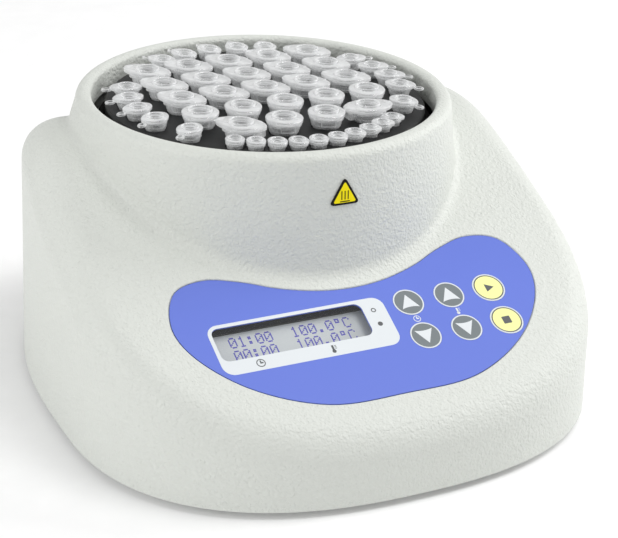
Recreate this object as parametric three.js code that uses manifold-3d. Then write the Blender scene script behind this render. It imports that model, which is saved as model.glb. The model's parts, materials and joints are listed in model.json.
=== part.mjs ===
// Dry block heater for micro tubes: a round tower holding a heated metal block with wells, on a low
// housing whose sloping front carries a display and a keypad.
// Millimetres, +Z up, +X right, -Y front. The origin is the middle of the footprint at floor level.
import * as THREE from "three";
import { mergeVertices } from "three/addons/utils/BufferGeometryUtils.js";
import Module from "manifold-3d";

const wasm = await Module();
wasm.setup();

// ---------------------------------------------------------------- driving dimensions
const WIDTH = 210; // housing, side to side
const DEPTH = 230; // housing, front to back
const RIM_HEIGHT = 110; // top of the tower
const WIDEST_Y = -25.4; // the footprint is widest here; each side of it is half a superellipse
const FRONT_POWER = 2.44; // superellipse exponents of the footprint
const REAR_POWER = 2.68;
const DRAFT = 0.018; // the side walls lean in by this much per mm of height
const WALL = 3; // plastic thickness
const GAP = 0.3; // clearance between pieces that touch
const HOUSING_BOTTOM = 3; // height of the housing's lower edge over the floor

const TOWER_Y = 30; // tower axis, behind the middle
const TOWER_R = 77.6; // at the tower's foot
const TOWER_TOP_R = 75.4;
const MOUTH_R = 68.9; // opening of the tower
const SKIRT_WALL = 2; // the mouth's inner skirt
const SKIRT_BOTTOM = 100;
const TOWER_FILLET = 3.5;

const SLOPE = THREE.MathUtils.degToRad(26.4); // control panel
const PANEL_Y = -50; // the panel's reference line
const PANEL_Z = 59.9;
const SLOPE_END_Y = 9.6; // where the roof starts to curve towards level
const ROOF_TOP_Y = 42;
const ROOF_FALL = 0.005; // how fast the roof falls behind its highest line
const EDGE_SIDE = 15.7; // length of the rounded edge, per side of the corner
const EDGE_FRONT = 7.5;
const EDGE_REAR = 11;

const BLOCK_X = 0.6; // the block sits a little to the right of the tower's axis
const BLOCK_TURN = THREE.MathUtils.degToRad(1); // and slightly turned
const BLOCK_R = 64.2;
const BLOCK_TOP = 105.5;
const BLOCK_BOTTOM = 58;
const COLLAR_R = 67.2;
const COLLAR_TOP = 99.2;
const LARGE_PITCH_X = 18.2;
const LARGE_PITCH_Y = 17.9;
const LARGE_BACK_ROW = 35.8; // distance of the rear row from the block's axis
const LARGE_ROWS = [5, 5, 5, 5, 4];
const RING_R = 55.5; // pitch circle of the small wells

const FLOOR_BOTTOM = 3.3; // base plate
const FLOOR_TOP = 5.8;
const SEGMENTS = 48; // round the housing

// ---------------------------------------------------------------- materials
const finish = (color, roughness, metalness = 0) =>
  new THREE.MeshStandardMaterial({ color, roughness, metalness });
const MATERIAL = {
  shell: finish(0xdcdfd9, 0.55),
  base: finish(0xc9ccc8, 0.6),
  rubber: finish(0x2b2b2c, 0.9),
  steel: finish(0xb5b8ba, 0.35, 1),
  block: finish(0x2c2e2f, 0.5, 0.6),
  collar: finish(0x161617, 0.8),
  heater: finish(0xb8541f, 0.7),
  wool: finish(0xd8d2bf, 0.95),
  board: finish(0x1f5a35, 0.6),
  lcd: finish(0x9fa8a6, 0.3),
  clear: finish(0xe8f0f2, 0.08),
  overlay: finish(0x6982e5, 0.45),
  keyYellow: finish(0xf4f5af, 0.45),
  keyGrey: finish(0x6e7678, 0.45),
  black: finish(0x1b1b1d, 0.5),
  label: finish(0xf2d21c, 0.5),
  cable: finish(0x8c8f94, 0.6),
  tube: finish(0xeef3f4, 0.25),
};

// ---------------------------------------------------------------- solids
function solidFrom(geometry) {
  const bare = geometry.index ? geometry.toNonIndexed() : geometry.clone();
  bare.deleteAttribute("normal");
  bare.deleteAttribute("uv");
  const merged = mergeVertices(bare, 1e-4);
  return new wasm.Manifold(
    new wasm.Mesh({
      numProp: 3,
      vertProperties: merged.attributes.position.array,
      triVerts: new Uint32Array(merged.index.array),
    }),
  );
}

function geometryFrom(solid) {
  const mesh = solid.getMesh();
  const geometry = new THREE.BufferGeometry();
  geometry.setAttribute("position", new THREE.BufferAttribute(mesh.vertProperties, 3));
  geometry.setIndex(new THREE.BufferAttribute(mesh.triVerts, 1));
  return geometry;
}

const join = (...parts) => parts.map(solidFrom).reduce((a, b) => a.add(b));
const cutAll = (solid, tools) => tools.reduce((left, tool) => left.subtract(solidFrom(tool)), solid);

function box(x0, x1, y0, y1, z0, z1) {
  return new THREE.BoxGeometry(x1 - x0, y1 - y0, z1 - z0).translate(
    (x0 + x1) / 2,
    (y0 + y1) / 2,
    (z0 + z1) / 2,
  );
}

function rod(x, y, z0, z1, radius, sides = 16) {
  return new THREE.CylinderGeometry(radius, radius, z1 - z0, sides)
    .rotateX(Math.PI / 2)
    .translate(x, y, (z0 + z1) / 2);
}

// A turned piece about Z from [radius, height] pairs listed from the bottom up.
function turned(pairs, sides = 24) {
  const points = pairs.map(([r, z]) => new THREE.Vector2(r, z));
  return new THREE.LatheGeometry(points, sides).rotateX(Math.PI / 2);
}

function slab(shape, z0, z1, curveSegments = 6) {
  return new THREE.ExtrudeGeometry(shape, {
    depth: z1 - z0,
    bevelEnabled: false,
    curveSegments,
  }).translate(0, 0, z0);
}

// Closed solid from rings of points: each ring joins the next, and the last joins the first.
function loft(rings) {
  const rows = rings.length;
  const columns = rings[0].length;
  const index = [];
  for (let i = 0; i < rows; i++) {
    for (let j = 0; j < columns; j++) {
      const a = i * columns + j;
      const b = i * columns + ((j + 1) % columns);
      const c = ((i + 1) % rows) * columns + ((j + 1) % columns);
      const d = ((i + 1) % rows) * columns + j;
      index.push(a, d, b, b, d, c);
    }
  }
  const geometry = new THREE.BufferGeometry();
  const flat = rings.flat().flatMap((p) => [p.x, p.y, p.z]);
  geometry.setAttribute("position", new THREE.Float32BufferAttribute(flat, 3));
  geometry.setIndex(index);
  return geometry;
}

const model = new THREE.Group();
const panel = new THREE.Group(); // local x across, y up the slope, z out of the panel
panel.position.set(0, PANEL_Y, PANEL_Z);
panel.rotation.x = SLOPE;
panel.updateMatrix();
model.add(panel);

function place(name, geometry, material, parent = model) {
  const mesh = new THREE.Mesh(geometry, material);
  mesh.name = name;
  parent.add(mesh);
  return mesh;
}

// ---------------------------------------------------------------- the housing's surface
// Height of the roof: a straight slope, a curve to level, and a gentle fall behind.
function roofHeight(y) {
  const steep = Math.tan(SLOPE);
  if (y <= SLOPE_END_Y) return PANEL_Z + (y - PANEL_Y) * steep;
  const start = PANEL_Z + (SLOPE_END_Y - PANEL_Y) * steep;
  const run = ROOF_TOP_Y - SLOPE_END_Y;
  const along = Math.min(y, ROOF_TOP_Y) - SLOPE_END_Y;
  const level = start + steep * (along - along ** 2 / (2 * run));
  return level - ROOF_FALL * Math.max(0, y - ROOF_TOP_Y) ** 2;
}

// Distance from the tower axis to the outer wall, in one direction and at one height.
function wallRadius(angle, z) {
  const lean = DRAFT * (z - HOUSING_BOTTOM);
  let near = 0;
  let far = WIDTH;
  for (let i = 0; i < 40; i++) {
    const r = (near + far) / 2;
    const behind = TOWER_Y + r * Math.sin(angle) - WIDEST_Y;
    const reach = DEPTH / 2 + (behind < 0 ? WIDEST_Y : -WIDEST_Y);
    const power = behind < 0 ? FRONT_POWER : REAR_POWER;
    const x = Math.abs(r * Math.cos(angle)) / (WIDTH / 2 - lean);
    const y = Math.abs(behind) / (reach - lean);
    if (x ** power + y ** power > 1) far = r;
    else near = r;
  }
  return near;
}

// The [radius, height] pairs from the tower wall down to the lower edge, set in by `inset`.
function bodyProfile(angle, inset) {
  const roofAt = (r) => roofHeight(TOWER_Y + r * Math.sin(angle)) - inset;
  const wallAt = (z) => wallRadius(angle, z) - inset;
  let corner = wallAt(PANEL_Z);
  for (let i = 0; i < 8; i++) corner = wallAt(roofAt(corner));
  const towerR = TOWER_R - inset;
  const land = corner - towerR;
  const towardsFront = Math.max(0, -Math.sin(angle)) ** 2;
  const towardsRear = Math.max(0, Math.sin(angle)) ** 2;
  const wanted =
    EDGE_SIDE - (EDGE_SIDE - EDGE_FRONT) * towardsFront - (EDGE_SIDE - EDGE_REAR) * towardsRear;
  const edge = Math.min(Math.max(wanted - 0.8 * inset, 2), 0.6 * land);
  const fillet = Math.min(TOWER_FILLET, 0.35 * land);
  const footR = towerR + fillet;
  const edgeR = corner - edge;
  const pairs = [
    [towerR, roofAt(towerR) + fillet],
    [towerR + 0.29 * fillet, roofAt(towerR + 0.29 * fillet) + 0.29 * fillet],
    [footR, roofAt(footR)],
  ];
  const shares = inset > 0 ? [0.5] : [0.33, 0.67];
  for (const share of shares) {
    const r = footR + share * (edgeR - footR);
    pairs.push([r, roofAt(r)]);
  }
  const from = [edgeR, roofAt(edgeR)];
  const middle = [corner, roofAt(corner)];
  const to = [wallAt(middle[1] - edge), middle[1] - edge];
  const weight = 0.74; // makes the three-point curve nearly a circular arc
  const steps = inset > 0 ? 2 : 4;
  for (let i = 0; i <= steps; i++) {
    const s = i / steps;
    const parts = [(1 - s) ** 2, 2 * weight * s * (1 - s), s ** 2];
    const sum = parts[0] + parts[1] + parts[2];
    const mix = (k) => (parts[0] * from[k] + parts[1] * middle[k] + parts[2] * to[k]) / sum;
    pairs.push([mix(0), mix(1)]);
  }
  pairs.push([wallAt(HOUSING_BOTTOM), HOUSING_BOTTOM]);
  return pairs;
}

// Rings about the tower axis from a function that gives the [radius, height] pairs at an angle.
function ringsFrom(profileAt) {
  const columns = [];
  for (let j = 0; j < SEGMENTS; j++) {
    const angle = (j / SEGMENTS) * Math.PI * 2;
    const point = ([r, z]) =>
      new THREE.Vector3(r * Math.cos(angle), TOWER_Y + r * Math.sin(angle), z);
    columns.push(profileAt(angle).map(point));
  }
  return columns[0].map((_, i) => columns.map((column) => column[i]));
}

// The body ends at the tower's foot, just above the fillet.
function bodyRings() {
  return ringsFrom((angle) => {
    const outside = bodyProfile(angle, 0);
    const inside = bodyProfile(angle, WALL);
    const seam = [inside[0][0], outside[0][1]];
    return [...outside, ...inside.slice(1).reverse(), seam];
  });
}

function towerRings() {
  const rim = [
    [MOUTH_R, SKIRT_BOTTOM],
    [MOUTH_R, RIM_HEIGHT - 2.4],
    [MOUTH_R + 0.8, RIM_HEIGHT - 0.7],
    [MOUTH_R + 2.4, RIM_HEIGHT],
    [TOWER_TOP_R - 3.2, RIM_HEIGHT],
    [TOWER_TOP_R - 1, RIM_HEIGHT - 1],
    [TOWER_TOP_R, RIM_HEIGHT - 3.6],
  ];
  const groove = [
    [TOWER_TOP_R - WALL, RIM_HEIGHT - 5],
    [TOWER_TOP_R - WALL - 0.4, RIM_HEIGHT - WALL],
    [MOUTH_R + SKIRT_WALL, RIM_HEIGHT - WALL],
    [MOUTH_R + SKIRT_WALL, SKIRT_BOTTOM],
  ];
  return ringsFrom((angle) => {
    const seam = bodyProfile(angle, 0)[0][1] + GAP;
    return [...rim, [TOWER_R, seam], [TOWER_R - WALL, seam], ...groove];
  });
}

// ---------------------------------------------------------------- control panel layout
const DISPLAY = { u: -31.1, v: -18.8, width: 60.6, height: 15.1 };
const KEY_COLUMNS = [18.6, 36.1, 53.6];
const KEY_ROWS = [-14.9, -31.1];
const ARROW = { r: 6.1, material: MATERIAL.keyGrey };
const ROUND = { r: 6.6, material: MATERIAL.keyYellow };
const KEYS = [
  { name: "key_time_up", u: KEY_COLUMNS[0], v: KEY_ROWS[0], ...ARROW },
  { name: "key_time_down", u: KEY_COLUMNS[0], v: KEY_ROWS[1], ...ARROW },
  { name: "key_temp_up", u: KEY_COLUMNS[1], v: KEY_ROWS[0], ...ARROW },
  { name: "key_temp_down", u: KEY_COLUMNS[1], v: KEY_ROWS[1], ...ARROW },
  { name: "key_run", u: KEY_COLUMNS[2], v: KEY_ROWS[0], ...ROUND },
  { name: "key_stop", u: KEY_COLUMNS[2], v: KEY_ROWS[1], ...ROUND },
];
const OVERLAY_THICKNESS = 0.8;
const RECESS = OVERLAY_THICKNESS + GAP;

// Kidney-shaped outline: its top edge follows the tower, and the right half mirrors the left.
function overlayShape(grow = 0) {
  const ARC_R = 83.4;
  const arc = (u) => (TOWER_Y - Math.sqrt(ARC_R ** 2 - u ** 2) - PANEL_Y) / Math.cos(SLOPE);
  const half = [
    [0, arc(0)],
    [14, arc(14)],
    [29, arc(29) - 0.2],
    [41.3, arc(41.3) - 1.1],
    [55.7, 11.2],
    [68.2, 7.6],
    [74.5, -7],
    [71.6, -20.4],
    [56.3, -39],
    [30.3, -52.3],
    [0, -53.9],
  ];
  const mirrored = half.slice(1, -1).reverse().map(([u, v]) => [-u, v]);
  const ring = [...half, ...mirrored].map(([u, v]) => new THREE.Vector3(u, v, 0));
  const curve = new THREE.CatmullRomCurve3(ring, true, "centripetal");
  const points = curve.getPoints(40).slice(0, -1);
  const grown = points.map((p, i) => {
    const before = points[(i + points.length - 1) % points.length];
    const after = points[(i + 1) % points.length];
    const along = new THREE.Vector2(after.x - before.x, after.y - before.y).normalize();
    return new THREE.Vector2(p.x - along.y * grow, p.y + along.x * grow);
  });
  return new THREE.Shape(grown);
}

const onPanel = (geometry) => geometry.applyMatrix4(panel.matrix);

function displayBox(margin, n0, n1) {
  const halfU = DISPLAY.width / 2 + margin;
  const halfV = DISPLAY.height / 2 + margin;
  return box(DISPLAY.u - halfU, DISPLAY.u + halfU, DISPLAY.v - halfV, DISPLAY.v + halfV, n0, n1);
}

// ---------------------------------------------------------------- rear panel layout
const REAR_FACE = 110; // floor of the rear pocket
const REAR_INNER = 106.8;
const POCKET_HALF = 31;
const POCKET_LOW = 12;
const POCKET_HIGH = 38;
const REAR_MID = (POCKET_LOW + POCKET_HIGH) / 2;
const ROCKER_X = -14;
const ROCKER_LENGTH = 14;
const ROCKER_HEIGHT = 8.4;
const INLET_X = 16;
const INLET_R = 5.6;

const alongY = (geometry, x, z) => geometry.rotateX(-Math.PI / 2).translate(x, 0, z);

// ---------------------------------------------------------------- fastener places
const SCREW_PLACES = [
  [-84, -40],
  [84, -40],
  [-77, 64],
  [77, 64],
];
const FOOT_PLACES = [
  [-62, -72],
  [62, -72],
  [-56, 82],
  [56, 82],
];
const POST_ANGLES = [90, 210, 330];
const POST_CIRCLE = 50;
const POST_TOP = 48.1;
const BOARD = { x: 60, y0: -72, y1: -12, z: 16 };

function buildHousing() {
  place("tower_shell", loft(towerRings()), MATERIAL.shell);
  let shell = solidFrom(loft(bodyRings()));
  const pad = POCKET_HALF + 3;
  const backing = box(-pad, pad, REAR_INNER, REAR_FACE + 0.6, POCKET_LOW - 3, POCKET_HIGH + 3);
  shell = shell.add(solidFrom(backing));
  for (const [x, y] of SCREW_PLACES) {
    const boss = rod(x, y, FLOOR_TOP + GAP, roofHeight(y) - 5, 4.5, 12);
    shell = shell.add(solidFrom(boss));
  }
  const cuts = SCREW_PLACES.map(([x, y]) => rod(x, y, FLOOR_TOP, 17, 1.8, 8));
  cuts.push(onPanel(slab(overlayShape(GAP), -RECESS, 12)));
  cuts.push(onPanel(displayBox(2, -WALL - 3, 1)));
  for (const key of KEYS) {
    cuts.push(onPanel(rod(key.u, key.v, -RECESS - 0.7, 1, key.r + 0.4, 12)));
    cuts.push(onPanel(rod(key.u, key.v, -WALL - 3, 1, 3, 8)));
  }
  cuts.push(box(-POCKET_HALF, POCKET_HALF, REAR_FACE, DEPTH, POCKET_LOW, POCKET_HIGH));
  cuts.push(
    box(
      ROCKER_X - 9.8,
      ROCKER_X + 9.8,
      REAR_INNER - 2,
      DEPTH,
      REAR_MID - 6.8,
      REAR_MID + 6.8,
    ),
  );
  cuts.push(alongY(rod(0, 0, REAR_INNER - 2, DEPTH, INLET_R + GAP, 16), INLET_X, REAR_MID));
  place("housing_shell", geometryFrom(cutAll(shell, cuts)), MATERIAL.shell);
}

// ---------------------------------------------------------------- underside
function buildBase() {
  const outline = [];
  for (let j = 0; j < SEGMENTS; j++) {
    const angle = (j / SEGMENTS) * Math.PI * 2;
    const r = wallRadius(angle, HOUSING_BOTTOM) - WALL - 2 * GAP;
    outline.push(new THREE.Vector2(r * Math.cos(angle), TOWER_Y + r * Math.sin(angle)));
  }
  let plate = solidFrom(slab(new THREE.Shape(outline), FLOOR_BOTTOM, FLOOR_TOP));
  const onFloor = FLOOR_TOP - 1;
  for (const degrees of POST_ANGLES) {
    const angle = THREE.MathUtils.degToRad(degrees);
    const x = POST_CIRCLE * Math.cos(angle);
    const y = TOWER_Y + POST_CIRCLE * Math.sin(angle);
    plate = plate.add(solidFrom(rod(x, y, onFloor, POST_TOP, 5, 12)));
  }
  for (const x of [-BOARD.x + 5, BOARD.x - 5]) {
    for (const y of [BOARD.y0 + 5, BOARD.y1 - 5]) {
      plate = plate.add(solidFrom(rod(x, y, onFloor, BOARD.z - GAP, 3, 8)));
    }
  }
  const cuts = FOOT_PLACES.map(([x, y]) => rod(x, y, 0, 10, 2.9, 12));
  for (const [x, y] of SCREW_PLACES) {
    cuts.push(rod(x, y, 0, 10, 1.9, 8));
    cuts.push(rod(x, y, 0, FLOOR_BOTTOM + 1.6, 3.5, 12));
  }
  place("base_plate", geometryFrom(cutAll(plate, cuts)), MATERIAL.base);

  const corners = ["front_left", "front_right", "rear_left", "rear_right"];
  corners.forEach((corner, i) => {
    const foot = [
      [0, 0],
      [7, 0],
      [8, 0.8],
      [8, FLOOR_BOTTOM - GAP],
      [2.5, FLOOR_BOTTOM - GAP],
      [2.5, FLOOR_TOP + 0.6],
      [0, FLOOR_TOP + 0.6],
    ];
    const rubber = place("foot_" + corner, turned(foot, 16), MATERIAL.rubber);
    rubber.position.set(...FOOT_PLACES[i], 0);
    const screw = [
      [0, FLOOR_BOTTOM],
      [2.6, FLOOR_BOTTOM],
      [3.1, FLOOR_BOTTOM + 0.4],
      [3.1, FLOOR_BOTTOM + 1.3],
      [1.5, FLOOR_BOTTOM + 1.3],
      [1.5, 16],
      [0, 16.6],
    ];
    const steel = place("base_screw_" + corner, turned(screw, 8), MATERIAL.steel);
    steel.position.set(...SCREW_PLACES[i], 0);
  });
}

// ---------------------------------------------------------------- heated block
// Wells in the block's own frame: [x, y] from the tower axis.
function largeWells() {
  return LARGE_ROWS.flatMap((count, row) =>
    Array.from({ length: count }, (_, i) => [
      (i - (count - 1) / 2) * LARGE_PITCH_X,
      LARGE_BACK_ROW - row * LARGE_PITCH_Y,
    ]),
  );
}

const ringPlace = (degrees) => {
  const angle = THREE.MathUtils.degToRad(degrees);
  return [RING_R * Math.cos(angle), RING_R * Math.sin(angle)];
};
const RIGHT_ANGLES = [24.5, 11.3, -1.6, -14.8, -35.5];
const LEFT_ANGLES = [155.5, 168.5, 181.5, 195, 213.5];
const REAR_STEP = 12.6;
const mediumAngles = [
  ...RIGHT_ANGLES,
  ...LEFT_ANGLES,
  ...[-2, -1, 0, 1, 2].map((step) => 90 + REAR_STEP * step),
];
const SMALL_COUNT = 10;
const SMALL_STEP = 8.3;
const smallAngles = Array.from(
  { length: SMALL_COUNT },
  (_, i) => -90 + (i - (SMALL_COUNT - 1) / 2) * SMALL_STEP,
);

const wellPoint = (x, y) => {
  const at = new THREE.Vector2(x, y).rotateAround(new THREE.Vector2(), BLOCK_TURN);
  return at.add(new THREE.Vector2(BLOCK_X, TOWER_Y));
};

const LARGE = { radius: 5.8, depth: 38.5, sides: 10 };
const MEDIUM = { radius: 4.1, depth: 28, sides: 8 };
const SMALL = { radius: 3.3, depth: 18, sides: 8 };

// A tapered blind hole, as the solid that is cut away.
function wellTool([x, y], { radius, depth, sides }) {
  const taper = 0.45 * depth;
  const at = wellPoint(x, y);
  return turned(
    [
      [0, BLOCK_TOP - depth],
      [0.42 * radius, BLOCK_TOP - depth],
      [radius, BLOCK_TOP - depth + taper],
      [radius, BLOCK_TOP + 2],
      [0, BLOCK_TOP + 2],
    ],
    sides,
  ).translate(at.x, at.y, 0);
}

function buildBlock() {
  const chamfer = 0.8;
  const billet = turned(
    [
      [0, BLOCK_BOTTOM],
      [BLOCK_R, BLOCK_BOTTOM],
      [BLOCK_R, BLOCK_TOP - chamfer],
      [BLOCK_R - chamfer, BLOCK_TOP],
      [0, BLOCK_TOP],
    ],
    36,
  ).translate(BLOCK_X, TOWER_Y, 0);
  const wells = [
    ...largeWells().map((at) => wellTool(at, LARGE)),
    ...mediumAngles.map((angle) => wellTool(ringPlace(angle), MEDIUM)),
    ...smallAngles.map((angle) => wellTool(ringPlace(angle), SMALL)),
    rod(BLOCK_X, TOWER_Y, BLOCK_BOTTOM - 1, BLOCK_BOTTOM + 6.5, 2.4, 8),
  ];
  place("heating_block", geometryFrom(cutAll(solidFrom(billet), wells)), MATERIAL.block);

  // The stack under the block, from the top: heater, insulation, carrier.
  const hole = 2.6; // for the temperature probe
  const ring = (inner, outer, z0, z1, sides) => {
    const section = [
      [inner, z0],
      [outer, z0],
      [outer, z1],
      [inner, z1],
      [inner, z0],
    ];
    return turned(section, sides).translate(BLOCK_X, TOWER_Y, 0);
  };
  const carrierTop = 50.7;
  const woolTop = 55.9;
  place("heater_disc", ring(hole, 60, woolTop + GAP, BLOCK_BOTTOM - GAP, 20), MATERIAL.heater);
  place("insulation_disc", ring(hole, 62, carrierTop + GAP, woolTop, 20), MATERIAL.wool);
  place("carrier_plate", ring(hole, COLLAR_R, POST_TOP + GAP, carrierTop, 20), MATERIAL.steel);
  const collar = ring(BLOCK_R + GAP, COLLAR_R, carrierTop + GAP, COLLAR_TOP, 36);
  place("block_collar", collar, MATERIAL.collar);
  const cutout = join(box(17, 31, 20, 28, 42, POST_TOP), rod(24, 24, 40.5, 43, 3, 8));
  place("thermal_cutout", geometryFrom(cutout), MATERIAL.black);
}

// ---------------------------------------------------------------- electronics
// A round lead along a smooth curve through the given points.
function lead(points, radius) {
  const path = new THREE.CatmullRomCurve3(points.map((p) => new THREE.Vector3(...p)));
  const shape = new THREE.Shape();
  shape.absarc(0, 0, radius, 0, Math.PI * 2);
  return new THREE.ExtrudeGeometry(shape, {
    steps: 12,
    curveSegments: 3,
    bevelEnabled: false,
    extrudePath: path,
  });
}

function buildElectronics() {
  const top = BOARD.z + 1.6;
  const board = join(
    box(-BOARD.x, BOARD.x, BOARD.y0, BOARD.y1, BOARD.z, top),
    box(-46, -22, -60, -38, top - 0.5, 28), // relay
    box(-8, 10, -58, -40, top - 0.5, 21), // processor
    box(30, 50, -36, -26, top - 0.5, 27), // lead connector
    rod(24, -56, top - 0.5, 30, 5, 12), // capacitor
  );
  place("control_board", geometryFrom(board), MATERIAL.board);

  const lcd = join(
    box(DISPLAY.u - 40, DISPLAY.u + 40, DISPLAY.v - 18, DISPLAY.v + 18, -9.8, -8),
    box(DISPLAY.u - 35.5, DISPLAY.u + 35.5, DISPLAY.v - 12.2, DISPLAY.v + 12.2, -8.2, -WALL - 0.7),
  );
  place("lcd_module", geometryFrom(lcd), MATERIAL.lcd, panel);

  const switches = [box(11, 62, -39, -7, -8, -6.4)];
  for (const key of KEYS) {
    switches.push(box(key.u - 3, key.u + 3, key.v - 3, key.v + 3, -6.6, -5.2));
    switches.push(rod(key.u, key.v, -5.4, -4.7, 1.7, 8));
  }
  place("switch_board", geometryFrom(join(...switches)), MATERIAL.board, panel);

  // Flat ribbon from the display's underside down to the control board.
  const ribbonWidth = 16;
  const drop = [
    [-62, 42],
    [-60, 36],
    [-66, 29],
    [-67, 20],
  ];
  const half = 0.5;
  const outline = [
    ...drop.map(([y, z]) => new THREE.Vector2(y - half, z)),
    ...drop.slice().reverse().map(([y, z]) => new THREE.Vector2(y + half, z)),
  ];
  const ribbon = slab(new THREE.Shape(outline), -ribbonWidth / 2, ribbonWidth / 2);
  ribbon.applyMatrix4(new THREE.Matrix4().makeBasis(
    new THREE.Vector3(0, 1, 0),
    new THREE.Vector3(0, 0, 1),
    new THREE.Vector3(1, 0, 0),
  ));
  place("ribbon_cable", ribbon.translate(-30, 0, 0), MATERIAL.cable);

  const heaterWay = [
    [40, -25.5, 22],
    [40, -16, 24],
    [34, 8, 33],
    [24, 23, 39],
  ];
  place("heater_lead", lead(heaterWay, 1.5), MATERIAL.cable);

  // The temperature probe and its lead are one piece.
  const probeWay = [
    [6, -20, 19.2],
    [6, -6, 23],
    [1, 20, 35],
    [BLOCK_X, TOWER_Y, 45],
  ];
  const probe = join(rod(BLOCK_X, TOWER_Y, 44, BLOCK_BOTTOM + 6, 2, 8), lead(probeWay, 1.2));
  place("block_sensor", geometryFrom(probe), MATERIAL.cable);

  const powerWay = [
    [-50, -24, 20],
    [-62, -4, 20.5],
    [-62, 48, 16],
    [-34, 84, 20],
    [-14, 93, 24],
  ];
  place("power_lead", lead(powerWay, 1.6), MATERIAL.cable);
}

// ---------------------------------------------------------------- keypad
function buildKeypad() {
  let sheet = solidFrom(slab(overlayShape(), -OVERLAY_THICKNESS, 0));
  const holes = KEYS.map((key) => rod(key.u, key.v, -2, 2, key.r + GAP, 16));
  holes.push(displayBox(0, -2, 2));
  sheet = cutAll(sheet, holes);
  place("front_overlay", geometryFrom(sheet), MATERIAL.overlay, panel);
  place("display_window", displayBox(-GAP, -OVERLAY_THICKNESS, -0.1), MATERIAL.clear, panel);
  for (const key of KEYS) {
    const cap = [
      [0, -4.1],
      [2.2, -4.1],
      [2.2, -1],
      [key.r - GAP, -1],
      [key.r - GAP, 0],
      [0, 0.45],
    ];
    const mesh = place(key.name, turned(cap, 12), key.material, panel);
    mesh.position.set(key.u, key.v, 0);
  }
}

// ---------------------------------------------------------------- rear fittings
function buildRear() {
  const bezel = join(
    box(ROCKER_X - 10.5, ROCKER_X + 10.5, REAR_FACE + GAP, REAR_FACE + 2, REAR_MID - 7.5, REAR_MID + 7.5),
    box(ROCKER_X - 9.5, ROCKER_X + 9.5, 95, REAR_FACE + 1, REAR_MID - 6.5, REAR_MID + 6.5),
  );
  const halfLength = ROCKER_LENGTH / 2 + 0.6;
  const halfHeight = ROCKER_HEIGHT / 2 + 0.4;
  const cavity = box(
    ROCKER_X - halfLength,
    ROCKER_X + halfLength,
    REAR_FACE - 7,
    REAR_FACE + 5,
    REAR_MID - halfHeight,
    REAR_MID + halfHeight,
  );
  place("power_switch_body", geometryFrom(cutAll(bezel, [cavity])), MATERIAL.black);

  // The rocker's outline seen from above: one side stands out and the other is pressed in.
  const tilt = THREE.MathUtils.degToRad(7);
  const reach = ROCKER_LENGTH / 2;
  const outline = new THREE.Shape([
    new THREE.Vector2(-reach, -1.6),
    new THREE.Vector2(0, -4.4),
    new THREE.Vector2(reach, -1.6),
    new THREE.Vector2(reach, 1.7),
    new THREE.Vector2(0, 0.9),
    new THREE.Vector2(-reach, 1.7),
  ]);
  const rocker = slab(outline, -ROCKER_HEIGHT / 2, ROCKER_HEIGHT / 2).rotateZ(tilt);
  place("power_rocker", rocker.translate(ROCKER_X, REAR_FACE + 0.6, REAR_MID), MATERIAL.black);

  const barrel = turned(
    [
      [0, 98],
      [INLET_R, 98],
      [INLET_R, REAR_FACE + GAP],
      [INLET_R + 1.2, REAR_FACE + GAP],
      [INLET_R + 1.2, REAR_FACE + 1.6],
      [3.3, REAR_FACE + 1.6],
      [3.3, REAR_FACE - 8],
      [1, REAR_FACE - 8],
      [1, REAR_FACE - 0.5],
      [0, REAR_FACE],
    ],
    16,
  );
  place("dc_inlet", alongY(barrel, INLET_X, REAR_MID), MATERIAL.black);
}

// ---------------------------------------------------------------- hot-surface plate
function buildLabel() {
  const LABEL_Z = 92;
  const WALL_R = 76.2; // the tower's wall at the label, and how far it leans in there
  const LEAN = THREE.MathUtils.degToRad(3);
  const side = 12.5;
  const height = side * Math.sin(Math.PI / 3);
  const triangle = new THREE.Shape([
    new THREE.Vector2(-side / 2, -height / 3),
    new THREE.Vector2(side / 2, -height / 3),
    new THREE.Vector2(0, (2 * height) / 3),
  ]);
  const plate = slab(triangle, 0, 0.4).rotateX(Math.PI / 2 - LEAN);
  plate.translate(0, TOWER_Y - WALL_R - GAP, LABEL_Z);
  place("hot_surface_label", plate, MATERIAL.label);
}

// ---------------------------------------------------------------- large tubes, lids closed
function tubeGeometry() {
  const flange = BLOCK_TOP + GAP;
  const body = turned(
    [
      [0, flange - 37.6],
      [1.8, flange - 37.6],
      [5.3, flange - 19.5],
      [5.4, flange],
      [6.2, flange],
      [6.4, flange + 2.4],
      [6.9, flange + 2.8],
      [6.9, flange + 5],
      [5.2, flange + 5.8],
      [5, flange + 6.5],
      [0, flange + 6.5],
    ],
    10,
  );
  const hinge = box(-3, 3, 5, 9.6, flange + 2.8, flange + 5);
  const tab = box(-2, 2, -9.2, -5, flange + 3.2, flange + 4.8);
  return geometryFrom(join(body, hinge, tab));
}

// Which way a tube's hinge points, in degrees from +X: the rear rows lie diagonally, the next row
// faces the front, and the front row is mixed.
function hingeDirection(index) {
  const facing = 20; // first tube of the row that faces the front
  if (index < 15) return -45;
  if (index < facing) return -104;
  return [-45, -105, -108, 185][index - facing];
}

function buildTubes() {
  const geometry = tubeGeometry();
  const SPREAD = [-3, 12, 0, -6, 6]; // degrees, so that no two neighbours lie quite the same
  largeWells().forEach(([x, y], i) => {
    const mesh = place("tube_" + String(i + 1).padStart(2, "0"), geometry, MATERIAL.tube);
    const at = wellPoint(x, y);
    mesh.position.set(at.x, at.y, 0);
    const turn = hingeDirection(i) + SPREAD[i % SPREAD.length];
    mesh.rotation.z = THREE.MathUtils.degToRad(turn - 90);
  });
}

buildHousing();
buildBase();
buildBlock();
buildElectronics();
buildKeypad();
buildRear();
buildLabel();
buildTubes();

export default model;
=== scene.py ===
# Looks of the dry block heater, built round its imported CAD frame.
import json
import random
from math import atan, cos, pi, radians, sin, sqrt, tan

import bmesh
import bpy
from mathutils import Matrix, Vector
from mathutils.geometry import tessellate_polygon


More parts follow.
